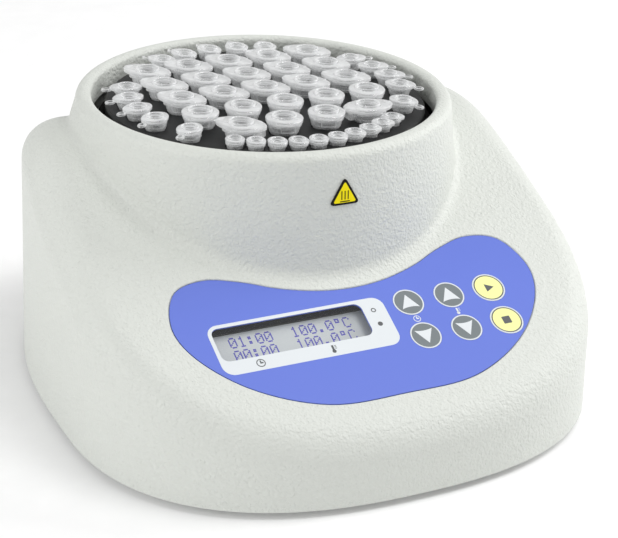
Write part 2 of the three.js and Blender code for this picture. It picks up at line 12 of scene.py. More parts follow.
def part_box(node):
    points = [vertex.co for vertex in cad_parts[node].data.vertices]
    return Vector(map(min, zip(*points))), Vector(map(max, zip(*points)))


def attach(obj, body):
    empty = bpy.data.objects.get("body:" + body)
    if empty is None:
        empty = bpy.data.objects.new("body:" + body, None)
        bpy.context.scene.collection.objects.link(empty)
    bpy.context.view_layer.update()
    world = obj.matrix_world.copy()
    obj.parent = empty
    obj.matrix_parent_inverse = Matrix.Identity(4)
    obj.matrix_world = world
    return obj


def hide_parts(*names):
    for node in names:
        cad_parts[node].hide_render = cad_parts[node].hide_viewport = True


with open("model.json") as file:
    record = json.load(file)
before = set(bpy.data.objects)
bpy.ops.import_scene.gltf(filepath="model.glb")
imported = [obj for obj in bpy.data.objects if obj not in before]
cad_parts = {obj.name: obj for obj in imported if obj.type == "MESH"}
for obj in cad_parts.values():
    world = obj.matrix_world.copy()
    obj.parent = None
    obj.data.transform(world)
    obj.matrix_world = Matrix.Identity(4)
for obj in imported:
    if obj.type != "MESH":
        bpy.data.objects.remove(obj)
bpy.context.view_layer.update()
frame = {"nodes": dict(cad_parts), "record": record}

# Sizes below are in millimetres, as on a drawing; make() turns them into metres.
MM = 0.001
TAU = 2 * pi

# Each CAD node's body; a piece that stands for a node takes its body from it.
RECORD = frame["record"]
BODY_OF = {node: body for body, nodes in RECORD["behaviour"]["bodies"].items() for node in nodes}
FINISH = {}  # materials by name, filled by surface()

# ---- sizes taken from the frame


def low_mm(node):
    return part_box(node)[0] / MM


def high_mm(node):
    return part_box(node)[1] / MM


WIDTH = high_mm("housing_shell").x - low_mm("housing_shell").x
DEPTH = high_mm("housing_shell").y - low_mm("housing_shell").y
RIM_HEIGHT = high_mm("tower_shell").z
HOUSING_BOTTOM = low_mm("housing_shell").z
TOWER_Y = (low_mm("heating_block").y + high_mm("heating_block").y) / 2
BLOCK_X = (low_mm("heating_block").x + high_mm("heating_block").x) / 2
BLOCK_R = (high_mm("heating_block").x - low_mm("heating_block").x) / 2
BLOCK_TOP = high_mm("heating_block").z
BLOCK_BOTTOM = low_mm("heating_block").z
COLLAR_R = (high_mm("block_collar").x - low_mm("block_collar").x) / 2
COLLAR_TOP = high_mm("block_collar").z
COLLAR_BOTTOM = low_mm("block_collar").z
FLOOR_BOTTOM = low_mm("base_plate").z

# The housing's shape, as the CAD source has it.
WIDEST_Y = -25.4
FRONT_POWER, REAR_POWER = 2.44, 2.68
DRAFT = 0.018
WALL = 3.0
GAP = 0.3
TOWER_R = 77.6
TOWER_TOP_R = 75.4
MOUTH_R = 68.9
SKIRT_WALL = 2.0
SKIRT_BOTTOM = 100.0
TOWER_FILLET = 3.5
SLOPE = radians(26.4)
PANEL_Y = -50.0
PANEL_Z = 59.9
SLOPE_END_Y = 9.6
ROOF_TOP_Y = 42.0
ROOF_FALL = 0.005
EDGE_SIDE, EDGE_FRONT, EDGE_REAR = 15.7, 7.5, 11.0

PANEL = Matrix.Translation((0, PANEL_Y, PANEL_Z)) @ Matrix.Rotation(SLOPE, 4, "X")

# ---- camera, floor and light


def build_stage():
    """Camera placed as the photograph was taken, a pale floor, white surroundings and softboxes."""
    azimuth, elevation, roll = radians(-26.41), radians(24.343), radians(1.862)
    target = Vector((5.145, -5.238, 44.689)) * MM
    distance = 0.75737
    back = Vector((sin(azimuth) * cos(elevation), -cos(azimuth) * cos(elevation), sin(elevation)))
    right = Vector((cos(azimuth), sin(azimuth), 0))
    up = back.cross(right)
    turned_right = right * cos(roll) + up * sin(roll)
    turned_up = up * cos(roll) - right * sin(roll)
    data = bpy.data.cameras.new("camera")
    data.lens = 110.06
    data.sensor_width = 36
    camera = bpy.data.objects.new("camera", data)
    basis = Matrix((turned_right, turned_up, back)).transposed().to_4x4()
    camera.matrix_world = Matrix.Translation(target + back * distance) @ basis
    bpy.context.scene.collection.objects.link(camera)
    bpy.context.scene.camera = camera

    floor_mesh = bpy.data.meshes.new("floor")
    side = 4.0
    floor_mesh.from_pydata(
        [(-side, -side, 0), (side, -side, 0), (side, side, 0), (-side, side, 0)], [], [(0, 1, 2, 3)]
    )
    floor = bpy.data.objects.new("floor", floor_mesh)
    bpy.context.scene.collection.objects.link(floor)
    pale = surface(
        "floor_pale", (0.88, 0.88, 0.88), 0.8, Emission_Color=(1, 1, 1, 1), Emission_Strength=0.1
    )
    floor_mesh.materials.append(pale)

    world = bpy.data.worlds.new("studio")
    world.use_nodes = True
    world.node_tree.nodes["Background"].inputs["Color"].default_value = (1, 1, 1, 1)
    world.node_tree.nodes["Background"].inputs["Strength"].default_value = 0.51
    bpy.context.scene.world = world
    bpy.context.scene.view_settings.view_transform = "Standard"

    def softbox(name, place, size, power):
        lamp = bpy.data.lights.new(name, "AREA")
        lamp.shape = "DISK"
        lamp.size = size
        lamp.energy = power
        holder = bpy.data.objects.new(name, lamp)
        holder.location = place
        aim = Vector((0, 0, 0.05)) - Vector(place)
        holder.rotation_euler = aim.to_track_quat("-Z", "Y").to_euler()
        bpy.context.scene.collection.objects.link(holder)

    softbox("key_right", (1.4, -0.1, 0.8), 0.9, 12)
    softbox("fill_left", (-1.45, -0.05, 0.55), 1.0, 8.5)
    softbox("front_high", (0.5, -0.5, 1.5), 0.7, 5.5)
    softbox("top", (0.3, -0.2, 1.5), 1.0, 4)


# ---- materials


def surface(name, color, roughness, metallic=0.0, mottle=0.04, grain=None, cells=None, **sockets):
    """A moulded or machined finish: colour and roughness vary a little, and a fine relief breaks up
    the light. grain is (size in mm, depth in mm) of a noise relief, cells the same for a pebbled one."""
    material = bpy.data.materials.new(name)
    material.use_nodes = True
    nodes, links = material.node_tree.nodes, material.node_tree.links
    shader = nodes["Principled BSDF"]
    place = nodes.new("ShaderNodeTexCoord").outputs["Object"]

    clouds = nodes.new("ShaderNodeTexNoise")
    clouds.inputs["Scale"].default_value = 60
    clouds.inputs["Detail"].default_value = 4
    links.new(place, clouds.inputs["Vector"])
    tint = nodes.new("ShaderNodeMix")
    tint.data_type = "RGBA"
    tint.inputs["A"].default_value = (*[c * (1 - mottle) for c in color], 1)
    tint.inputs["B"].default_value = (*[min(1, c * (1 + mottle)) for c in color], 1)
    links.new(clouds.outputs["Fac"], tint.inputs["Factor"])
    links.new(tint.outputs["Result"], shader.inputs["Base Color"])

    spread = nodes.new("ShaderNodeMapRange")
    spread.inputs["To Min"].default_value = max(0, roughness - 0.06)
    spread.inputs["To Max"].default_value = min(1, roughness + 0.06)
    links.new(clouds.outputs["Fac"], spread.inputs["Value"])
    links.new(spread.outputs["Result"], shader.inputs["Roughness"])
    shader.inputs["Metallic"].default_value = metallic

    below = None
    for kind, relief in (("ShaderNodeTexNoise", grain), ("ShaderNodeTexVoronoi", cells)):
        if not relief:
            continue
        height = nodes.new(kind)
        height.inputs["Scale"].default_value = 1 / (relief[0] * MM)
        if kind == "ShaderNodeTexVoronoi":
            height.feature = "SMOOTH_F1"
            height.inputs["Smoothness"].default_value = 0.6
            level = height.outputs["Distance"]
        else:
            height.inputs["Detail"].default_value = 3
            height.inputs["Distortion"].default_value = 0.4
            level = height.outputs["Fac"]
        links.new(place, height.inputs["Vector"])
        bump = nodes.new("ShaderNodeBump")
        bump.inputs["Strength"].default_value = 1
        bump.inputs["Distance"].default_value = relief[1] * MM
        links.new(level, bump.inputs["Height"])
        if below:
            links.new(below, bump.inputs["Normal"])
        below = bump.outputs["Normal"]
    if below:
        links.new(below, shader.inputs["Normal"])
    for socket, value in sockets.items():
        shader.inputs[socket.replace("_", " ")].default_value = value
    FINISH[name] = material
    return material


def printed(name, color, mottle):
    """Ink on the keypad's finely textured film."""
    surface(name, color, 0.42, mottle=mottle, grain=(0.22, 0.012))


def build_materials():
    """Every finish of the heater. A low Specular_IOR_Level keeps a dark one from looking wet."""
    surface("shell_plastic", (0.66, 0.68, 0.64), 0.5, mottle=0.012, grain=(1.5, 0.52), cells=(1.0, 0.18))
    surface("base_plastic", (0.55, 0.56, 0.54), 0.55, mottle=0.02, grain=(0.9, 0.08))
    surface("foot_rubber", (0.02, 0.02, 0.021), 0.85, mottle=0.2, grain=(0.5, 0.05))
    surface("zinc_steel", (0.55, 0.56, 0.57), 0.35, 1.0, mottle=0.08, grain=(0.3, 0.01))
    surface(
        "anodised", (0.014, 0.0145, 0.015), 0.42, 0.2, mottle=0.15, grain=(0.25, 0.02),
        Specular_IOR_Level=0.25
    )
    # The collar's colour is its black silicone plus painted shade: it is made darker than the other blacks
    # so that it also stands for the shadow in the gap between the block and the tower's mouth.
    surface(
        "collar_silicone_and_shade", (0.003, 0.003, 0.003), 0.85, mottle=0.2, grain=(0.6, 0.03),
        Specular_IOR_Level=0.15
    )
    surface("heater_silicone", (0.5, 0.13, 0.03), 0.7, mottle=0.1, grain=(0.8, 0.1))
    surface("mineral_felt", (0.68, 0.62, 0.5), 0.95, mottle=0.15, grain=(0.4, 0.3))
    surface("solder_mask", (0.015, 0.09, 0.035), 0.4, mottle=0.1, grain=(2.5, 0.03))
    surface(
        "black_nylon", (0.009, 0.009, 0.01), 0.38, mottle=0.15, grain=(0.4, 0.02),
        Specular_IOR_Level=0.3
    )
    surface("wire_sleeve", (0.27, 0.28, 0.3), 0.5, mottle=0.05, grain=(1.5, 0.02))
    printed("film_blue", (0.106, 0.168, 0.64), 0.012)
    printed("film_light", (0.70, 0.735, 0.76), 0.012)
    printed("film_dark", (0.085, 0.09, 0.095), 0.03)
    printed("key_grey", (0.155, 0.18, 0.19), 0.02)
    printed("key_yellow", (0.91, 0.92, 0.36), 0.015)
    surface(
        "label_yellow", (0.95, 0.8, 0.003), 0.4, mottle=0.03, grain=(0.5, 0.01), Specular_IOR_Level=0.15
    )
    surface(
        "label_dark", (0.006, 0.006, 0.005), 0.45, mottle=0.1, grain=(0.5, 0.01), Specular_IOR_Level=0.15
    )
    surface("display_cell", (0.50, 0.53, 0.54), 0.3, mottle=0.03, grain=(0.2, 0.01))
    surface("display_dot", (0.05, 0.04, 0.40), 0.35, mottle=0.05, grain=(0.2, 0.01))
    surface("nickel_contact", (0.6, 0.58, 0.52), 0.25, 1.0, mottle=0.05, grain=(0.4, 0.01))
    polypropylene()
    surface("window_film", (0.9, 0.92, 0.93), 0.12, mottle=0.01, grain=(3, 0.01), Alpha=0.02)


def polypropylene():
    """Natural polypropylene: milky, denser where the wall is seen edge-on."""
    material = surface(
        "polypropylene", (0.95, 0.96, 0.965), 0.12, mottle=0.02, grain=(1.6, 0.35), Coat_Weight=1.0
    )
    nodes, links = material.node_tree.nodes, material.node_tree.links
    edge = nodes.new("ShaderNodeLayerWeight")
    edge.inputs["Blend"].default_value = 0.4
    opacity = nodes.new("ShaderNodeMapRange")
    opacity.inputs["To Min"].default_value = 0.15
    opacity.inputs["To Max"].default_value = 0.95
    links.new(edge.outputs["Facing"], opacity.inputs["Value"])
    links.new(opacity.outputs["Result"], nodes["Principled BSDF"].inputs["Alpha"])


# ---- mesh tools


class Solid:
    """Collects closed shells, in millimetres, with a material index for each face."""

    def __init__(self):
        self.points, self.faces, self.marks = [], [], []

    def add(self, shell, mark=0, place=None):
        points, faces = shell
        start = len(self.points)
        for p in points:
            self.points.append(place @ Vector(p) if place else Vector(p))
        self.faces += [[start + i for i in face] for face in faces]
        self.marks += [mark] * len(faces)
        return self

    def mesh(self, name, finishes, place=None, sharp=35):
        data = bpy.data.meshes.new(name)
        points = [(place @ p if place else p) * MM for p in self.points]
        data.from_pydata(points, [], self.faces)
        for finish in finishes.split():
            data.materials.append(FINISH[finish])
        data.polygons.foreach_set("material_index", self.marks)
        tidy_mesh(data, sharp)
        return data

    def make(self, name, nodes, finishes, place=None, sharp=35):
        """Visual piece that stands for one or more CAD nodes."""
        nodes = nodes.split()
        data = self.mesh(name, finishes, place, sharp)
        return show(data, name, BODY_OF[nodes[0]], nodes)


def tidy_mesh(data, sharp):
    """Faces outward, smooth shading, and hard edges where the surface really turns."""
    work = bmesh.new()
    work.from_mesh(data)
    bmesh.ops.recalc_face_normals(work, faces=work.faces)
    limit = radians(sharp)
    for face in work.faces:
        face.smooth = True
    for edge in work.edges:
        edge.smooth = len(edge.link_faces) == 2 and edge.calc_face_angle(0) < limit
    work.to_mesh(data)
    work.free()


def show(data, name, body, replaces=(), at=None):
    piece = bpy.data.objects.new(name, data)
    bpy.context.scene.collection.objects.link(piece)
    if at is not None:
        piece.matrix_world = at
    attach(piece, body)
    if replaces:
        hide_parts(*replaces)
    return piece


def grid(rings, wrap_rows=True):
    """Shell through rings of points with the same number of points each."""
    rows, columns = len(rings), len(rings[0])
    faces = []
    for i in range(rows if wrap_rows else rows - 1):
        for j in range(columns):
            k, m = (i + 1) % rows, (j + 1) % columns
            faces.append((i * columns + j, i * columns + m, k * columns + m, k * columns + j))
    return [p for ring in rings for p in ring], faces


def band(above, below, count):
    """Faces between two closed rings of points, given by the number of each ring's first point."""
    ring = [(j, (j + 1) % count) for j in range(count)]
    return [(above + j, above + m, below + m, below + j) for j, m in ring]


def capped(rings):
    """Shell from stacked rings, with a flat face at each end."""
    points, faces = grid(rings, wrap_rows=False)
    columns = len(rings[0])
    faces.append(tuple(range(columns)))
    faces.append(tuple(range(len(points) - columns, len(points))))
    return points, faces


def around(radius, z, sides, centre=(0, 0)):
    """Ring of points; radius may be a number or a function of the angle."""
    ring = []
    for i in range(sides):
        angle = TAU * i / sides
        r = radius(angle) if callable(radius) else radius
        ring.append((centre[0] + r * cos(angle), centre[1] + r * sin(angle), z))
    return ring


def turned(profile, sides=32, centre=(0, 0)):
    """Turned solid from [radius, height] pairs; it closes on the axis or on itself."""
    rings = [around(r, z, sides, centre) for r, z in profile if r > 0]
    if profile[0][0] > 0:
        return grid(rings)
    points, faces = grid(rings, wrap_rows=False)
    last = len(points)
    points += [(*centre, profile[0][1]), (*centre, profile[-1][1])]
    for j in range(sides):
        m = (j + 1) % sides
        faces.append((last, j, m))
        faces.append((last + 1, last - sides + m, last - sides + j))
    return points, faces


def plate(loops, low, high):
    """Flat plate with holes: loops are lists of (x, y), the first one the outline."""
    flat = [[Vector((x, y, 0)) for x, y in loop] for loop in loops]
    count = sum(len(loop) for loop in flat)
    points = [(p.x, p.y, z) for z in (low, high) for loop in flat for p in loop]
    triangles = [tuple(t) for t in tessellate_polygon(flat)]
    faces = triangles + [tuple(count + i for i in t) for t in triangles]
    start = 0
    for loop in flat:
        for i in range(len(loop)):
            a, b = start + i, start + (i + 1) % len(loop)
            faces.append((a, b, count + b, count + a))
        start += len(loop)
    return points, faces


def soft_plate(outline, low, high, edge):
    """Plate with a rounded upper edge; outline(grow) gives the loop grown by that much."""
    steps = 4
    rings = [[(x, y, low) for x, y in outline(0)]]
    for i in range(steps + 1):
        turn = i / steps * pi / 2
        inwards, z = edge * (1 - cos(turn)), high - edge + edge * sin(turn)
        rings.append([(x, y, z) for x, y in outline(-inwards)])
    return capped(rings)


def circle(x, y, radius, sides=40):
    return [(p[0], p[1]) for p in around(radius, 0, sides, (x, y))]


def rounded_box(x0, x1, y0, y1, radius, steps=6):
    """Loop of a rectangle with round corners."""
    loop = []
    corners = ((x1, y1, 0), (x0, y1, 1), (x0, y0, 2), (x1, y0, 3))
    for x, y, quarter in corners:
        cx = x - radius if x == x1 else x + radius
        cy = y - radius if y == y1 else y + radius
        for i in range(steps + 1):
            angle = (quarter + i / steps) * pi / 2
            loop.append((cx + radius * cos(angle), cy + radius * sin(angle)))
    return loop


def rectangle(x0, x1, y0, y1):
    return [(x0, y0), (x1, y0), (x1, y1), (x0, y1)]


def block_of(x0, x1, y0, y1, z0, z1, edge=0.4, steps=3):
    """Box with rounded upright edges and a soft top."""
    def outline(grow):
        return rounded_box(x0 - grow, x1 + grow, y0 - grow, y1 + grow, edge * 1.5 + grow, steps)

    return soft_plate(outline, z0, z1, edge)


def cut(piece, tools):
    """Cuts the tools away from the piece and removes them."""
    for tool in tools:
        step = piece.modifiers.new("cut", "BOOLEAN")
        step.operation = "DIFFERENCE"
        step.solver = "EXACT"
        step.object = tool
    graph = bpy.context.evaluated_depsgraph_get()
    data = bpy.data.meshes.new_from_object(piece.evaluated_get(graph))
    piece.modifiers.clear()
    piece.data = data
    for tool in tools:
        bpy.data.objects.remove(tool)
    return data


def cutter(shell, place=None):
    data = Solid().add(shell, place=place).mesh("cutter", "")
    tool = bpy.data.objects.new("cutter", data)
    bpy.context.scene.collection.objects.link(tool)
    return tool


# ---- housing


def roof_height(y):
    """Straight slope that bends over into the level roof and falls a little behind it."""
    steep = tan(SLOPE)
    if y <= SLOPE_END_Y:
        return PANEL_Z + (y - PANEL_Y) * steep
    start = PANEL_Z + (SLOPE_END_Y - PANEL_Y) * steep
    run = ROOF_TOP_Y - SLOPE_END_Y
    along = min(y, ROOF_TOP_Y) - SLOPE_END_Y
    level = start + steep * (along - along**2 / (2 * run))
    return level - ROOF_FALL * max(0, y - ROOF_TOP_Y) ** 2


def wall_radius(angle, z):
    """Distance from the tower axis to the outer wall."""
    lean = DRAFT * (z - HOUSING_BOTTOM)
    near, far = 0.0, WIDTH
    for _ in range(30):
        r = (near + far) / 2
        behind = TOWER_Y + r * sin(angle) - WIDEST_Y
        reach = DEPTH / 2 + (WIDEST_Y if behind < 0 else -WIDEST_Y)
        power = FRONT_POWER if behind < 0 else REAR_POWER
        x = abs(r * cos(angle)) / (WIDTH / 2 - lean)
        y = abs(behind) / (reach - lean)
        if x**power + y**power > 1:
            far = r
        else:
            near = r
    return near


def body_profile(angle, inset, roof_steps, edge_steps, wall_steps):
    """[radius, height] pairs from the tower's foot over the roof and down the side wall."""
    def roof_at(r):
        return roof_height(TOWER_Y + r * sin(angle)) - inset

    def wall_at(z):
        return wall_radius(angle, z) - inset

    corner = wall_at(PANEL_Z)
    for _ in range(8):
        corner = wall_at(roof_at(corner))
    tower_r = TOWER_R - inset
    land = corner - tower_r
    front = max(0, -sin(angle)) ** 2
    rear = max(0, sin(angle)) ** 2
    wanted = EDGE_SIDE - (EDGE_SIDE - EDGE_FRONT) * front - (EDGE_SIDE - EDGE_REAR) * rear
    edge = min(max(wanted - 0.8 * inset, 2), 0.6 * land)
    fillet = min(TOWER_FILLET, 0.35 * land)
    pairs = []
    for i in range(7):
        turn = i / 6 * pi / 2
        r = tower_r + fillet * (1 - cos(turn))
        pairs.append((r, roof_at(r) + fillet * (1 - sin(turn))))
    foot_r, edge_r = tower_r + fillet, corner - edge
    for i in range(1, roof_steps):
        r = foot_r + (edge_r - foot_r) * i / roof_steps
        pairs.append((r, roof_at(r)))
    top = (edge_r, roof_at(edge_r))
    middle = (corner, roof_at(corner))
    low = (wall_at(middle[1] - edge), middle[1] - edge)
    weight = 0.74
    for i in range(edge_steps + 1):
        s = i / edge_steps
        a, b, c = (1 - s) ** 2, 2 * weight * s * (1 - s), s**2
        total = a + b + c
        pairs.append(tuple((a * top[k] + b * middle[k] + c * low[k]) / total for k in (0, 1)))
    for i in range(1, wall_steps + 1):
        z = low[1] + (HOUSING_BOTTOM - low[1]) * i / wall_steps
        pairs.append((wall_at(z), z))
    return pairs


def rim_profile():
    """Mouth skirt, rounded rim and tower wall, from the inside out."""
    pairs = [(MOUTH_R, SKIRT_BOTTOM), (MOUTH_R, 103), (MOUTH_R, RIM_HEIGHT - 2.4)]
    inner, outer = 2.4, 3.6
    for i in range(1, 7):
        turn = i / 6 * pi / 2
        pairs.append((MOUTH_R + inner * (1 - cos(turn)), RIM_HEIGHT - inner + inner * sin(turn)))
    for i in range(8):
        turn = i / 7 * pi / 2
        pairs.append((TOWER_TOP_R - outer + outer * sin(turn), RIM_HEIGHT - outer + outer * cos(turn)))
    return pairs


def build_housing():
    sides = 288
    rim = rim_profile()
    columns = []
    for j in range(sides):
        angle = TAU * j / sides
        body = body_profile(angle, 0, 16, 14, 8)
        foot = body[0]
        wall_rows = []
        for i in range(1, 6):
            share = i / 6
            top_r, top_z = rim[-1]
            wall_rows.append((top_r + (foot[0] - top_r) * share, top_z + (foot[1] - top_z) * share))
        inside = body_profile(angle, WALL, 6, 4, 2)[::-1]
        back = [
            (TOWER_TOP_R - WALL, RIM_HEIGHT - 5), (TOWER_TOP_R - WALL - 0.4, RIM_HEIGHT - WALL),
            (MOUTH_R + SKIRT_WALL, RIM_HEIGHT - WALL), (MOUTH_R + SKIRT_WALL, SKIRT_BOTTOM)
        ]
        pairs = [*rim, *wall_rows, *body, *inside, *back]
        columns.append([(r * cos(angle), TOWER_Y + r * sin(angle), z) for r, z in pairs])
    rings = [[column[i] for column in columns] for i in range(len(columns[0]))]
    shell = Solid().add(grid(rings)).make("housing", "housing_shell tower_shell", "shell_plastic")

    # The rear pocket's backing plate is joined before the pocket is cut.
    half, low, high = POCKET_HALF + 3, POCKET_LOW - 3, POCKET_HIGH + 3
    backing = cutter(block_of(-half, half, REAR_INNER, REAR_FACE + 0.6, low, high))
    joined = shell.modifiers.new("join", "BOOLEAN")
    joined.operation = "UNION"
    joined.solver = "EXACT"
    joined.object = backing
    graph = bpy.context.evaluated_depsgraph_get()
    shell.data = bpy.data.meshes.new_from_object(shell.evaluated_get(graph))
    shell.modifiers.clear()
    bpy.data.objects.remove(backing)

    # The film's recess with a broken edge, the display's window, and each key's stem hole and seat.
    steps = ((GAP, -FILM - GAP), (GAP, -0.35), (GAP + 0.35, 0.02), (GAP + 0.35, 12))
    recess = capped([[(u, v, n) for u, v in overlay_loop(grow)] for grow, n in steps])
    tools = [cutter(recess, PANEL), cutter(plate([display_loop(3.5)], -7, 1), PANEL)]
    for key in KEYS:
        stem = circle(key["u"], key["v"], 3.0, 24)
        cap = circle(key["u"], key["v"], key["r"] + 0.4)
        tools += [cutter(plate([stem], -7, 1), PANEL), cutter(plate([cap], -FILM - GAP - 0.7, 1), PANEL)]
    # The pocket in the rear wall, and the holes of the switch and the inlet through it.
    pocket = rounded_box(-POCKET_HALF, POCKET_HALF, POCKET_LOW, POCKET_HIGH, 3)
    face_rear = Matrix.Rotation(radians(90), 4, "X")
    tools.append(cutter(plate([pocket], -DEPTH, -REAR_FACE), face_rear))
    mid = (POCKET_LOW + POCKET_HIGH) / 2
    hole = rounded_box(ROCKER_X - 9.8, ROCKER_X + 9.8, mid - 6.8, mid + 6.8, 0.5)
    tools.append(cutter(plate([hole], -DEPTH, -REAR_INNER + 2), face_rear))
    tools.append(cutter(plate([circle(INLET_X, mid, INLET_R + GAP)], -DEPTH, -REAR_INNER + 2), face_rear))
    tidy_mesh(cut(shell, tools), 32)


# ---- control panel

DISPLAY_U, DISPLAY_V = -31.1, -18.8
DISPLAY_WIDTH, DISPLAY_HEIGHT = 60.6, 15.1
KEY_COLUMNS = (18.6, 36.1, 53.6)
KEY_ROWS = (-14.9, -31.1)
ARROW_R, ROUND_R = 6.1, 6.6
KEYS = [
    {
        "name": "key_" + name, "u": KEY_COLUMNS[i // 2], "v": KEY_ROWS[i % 2],
        "r": ARROW_R if i < 4 else ROUND_R, "sign": name.split("_")[-1]
    }
    for i, name in enumerate(("time_up", "time_down", "temp_up", "temp_down", "run", "stop"))
]
FILM = 0.8
FILM_TOP = -0.2  # the film lies just under the lip of its recess
INK = 0.04

REAR_FACE, REAR_INNER = 110.0, 106.8
POCKET_HALF, POCKET_LOW, POCKET_HIGH = 31, 12, 38
ROCKER_X, INLET_X, INLET_R = -14, 16, 5.6


def smooth_loop(points, steps):
    """Closed smooth curve through the points (centripetal Catmull-Rom)."""
    loop = []
    count = len(points)
    for i in range(count):
        p = [Vector(points[(i + k - 1) % count]) for k in range(4)]
        t = [0.0]
        for k in range(3):
            t.append(t[-1] + (p[k + 1] - p[k]).length ** 0.5)
        for step in range(steps):
            at = t[1] + (t[2] - t[1]) * step / steps
            a = [p[k].lerp(p[k + 1], (at - t[k]) / (t[k + 1] - t[k])) for k in range(3)]
            b = [
                a[0].lerp(a[1], (at - t[0]) / (t[2] - t[0])),
                a[1].lerp(a[2], (at - t[1]) / (t[3] - t[1]))
            ]
            loop.append(b[0].lerp(b[1], (at - t[1]) / (t[2] - t[1])))
    return loop


def overlay_loop(grow=0.0):
    """Kidney outline of the film: the top edge follows the tower, and the left mirrors the right."""
    arc_r = 83.4

    def arc(u):
        return (TOWER_Y - sqrt(arc_r**2 - u**2) - PANEL_Y) / cos(SLOPE)

    half = [(0, arc(0)), (14, arc(14)), (29, arc(29) - 0.2), (41.3, arc(41.3) - 1.1)]
    half += [(55.7, 11.2), (68.2, 7.6), (74.5, -7), (71.6, -20.4), (56.3, -39), (30.3, -52.3)]
    half += [(0, -53.9)]
    ring = half + [(-u, v) for u, v in half[-2:0:-1]]
    loop = smooth_loop(ring, 8)
    if not grow:
        return [(p.x, p.y) for p in loop]
    grown = []
    for i, p in enumerate(loop):
        along = (loop[(i + 1) % len(loop)] - loop[i - 1]).normalized()
        grown.append((p.x - along.y * grow, p.y + along.x * grow))
    return grown


def display_loop(margin):
    half_u, half_v = DISPLAY_WIDTH / 2 + margin, DISPLAY_HEIGHT / 2 + margin
    return rounded_box(
        DISPLAY_U - half_u, DISPLAY_U + half_u, DISPLAY_V - half_v, DISPLAY_V + half_v, 3.0
    )


def build_overlay():
    holes = [circle(key["u"], key["v"], key["r"] + 0.06, 64) for key in KEYS]
    film = Solid().add(plate([overlay_loop(), display_loop(0), *holes], -FILM, FILM_TOP))
    frame_loop = rounded_box(
        DISPLAY_U - DISPLAY_WIDTH / 2 - 1.5, DISPLAY_U + DISPLAY_WIDTH / 2 + 9.3,
        DISPLAY_V - DISPLAY_HEIGHT / 2 - 6.2, DISPLAY_V + DISPLAY_HEIGHT / 2 + 1.5, 4.5
    )
    low, high = FILM_TOP, FILM_TOP + INK
    film.add(plate([frame_loop, display_loop(0.02)], low, high), 1)
    below = DISPLAY_V - DISPLAY_HEIGHT / 2 - 3.1
    for loops in clock_sign(DISPLAY_U - 17, below, 1.75) + thermometer_sign(DISPLAY_U + 12, below, 1.75):
        film.add(plate(loops, high, high + INK), 2)
    for row, v in enumerate((DISPLAY_V + 3.2, DISPLAY_V - 3.4)):
        u = DISPLAY_U + DISPLAY_WIDTH / 2 + 4.2
        film.add(plate(row_sign(u, v, row), high, high + INK), 2)
    between = (KEY_ROWS[0] + KEY_ROWS[1]) / 2
    for loops in clock_sign(KEY_COLUMNS[0], between, 1.5) + thermometer_sign(KEY_COLUMNS[1], between, 1.5):
        film.add(plate(loops, low, high), 1)
    film.make("front_film", "front_overlay", "film_blue film_light film_dark", PANEL)
    pane = Solid().add(plate([display_loop(-0.1)], FILM_TOP - 0.35, FILM_TOP - 0.1))
    pane.make("window_pane", "display_window", "window_film", PANEL)


def clock_sign(u, v, r):
    """Clock face: a ring and two hands, as separate loops for plate()."""
    hand = 0.16 * r
    return [
        [circle(u, v, r, 32), circle(u, v, 0.8 * r, 32)],
        [rectangle(u - hand, u + hand, v - hand, v + 0.62 * r)],
        [rectangle(u + hand, u + 0.55 * r, v - hand, v + hand)]
    ]


def thermometer_sign(u, v, r):
    """Thermometer: a bulb, a stem and three marks."""
    stem = 0.24 * r
    loops = [
        [circle(u, v - 0.55 * r, 0.45 * r, 24)], [rectangle(u - stem, u + stem, v - 0.3 * r, v + r)]
    ]
    for i in range(3):
        y = v + (0.05 + 0.35 * i) * r
        loops.append([rectangle(u + 0.45 * r, u + 0.85 * r, y, y + 0.14 * r)])
    return loops


def row_sign(u, v, row):
    """Mark beside a display row: a hollow ring for the chosen value, a full one for the present."""
    return [circle(u, v, 1.0, 24), circle(u, v, 0.62, 24)] if row == 0 else [circle(u, v, 1.0, 24)]


def build_keys():
    for key in KEYS:
        u, v, r, sign = key["u"], key["v"], key["r"], key["sign"]
        top = FILM_TOP + 0.02
        cap = Solid()
        cap.add(turned([(0, -4.0), (2.2, -4.0), (2.2, -1.1), (r, -1.1), (r, top), (0, top)], 64, (u, v)))
        high = top + INK
        ring = 0.55
        cap.add(plate([circle(u, v, r - 0.02, 64), circle(u, v, r - ring, 64)], top, high), 1)
        if sign in ("up", "down"):
            cap.add(plate([circle(u, v, r - ring, 64)], top, high), 0)
            cap.add(plate([arrow(u, v, r, 1 if sign == "up" else -1)], high, high + INK), 1)
            inks = "key_grey film_light"
        else:
            cap.add(plate([circle(u, v, r - ring, 64), circle(u, v, r - ring - 0.5, 64)], top, high), 2)
            cap.add(plate([circle(u, v, r - ring - 0.5, 64)], top, high), 0)
            cap.add(plate([run_stop_sign(u, v, sign)], high, high + INK), 2)
            inks = "key_yellow film_light film_dark"
        cap.make("cap_of_" + key["name"], key["name"], inks, PANEL)


def arrow(u, v, r, direction):
    """Arrow head with a hollow base."""
    tip, base, half, hollow = 0.60 * r, -0.46 * r, 0.60 * r, -0.36 * r
    steps = 6
    loop = [(u, v + direction * tip)]
    for i in range(steps + 1):
        x = half - 2 * half * i / steps
        y = base + (hollow - base) * (1 - (x / half) ** 2)
        loop.append((u + x, v + direction * y))
    return loop


def run_stop_sign(u, v, sign):
    size = 1.7
    if sign == "stop":
        return rounded_box(u - size, u + size, v - size, v + size, 0.3, 3)
    return [(u - 0.8 * size, v - 1.1 * size), (u + 1.3 * size, v), (u - 0.8 * size, v + 1.1 * size)]


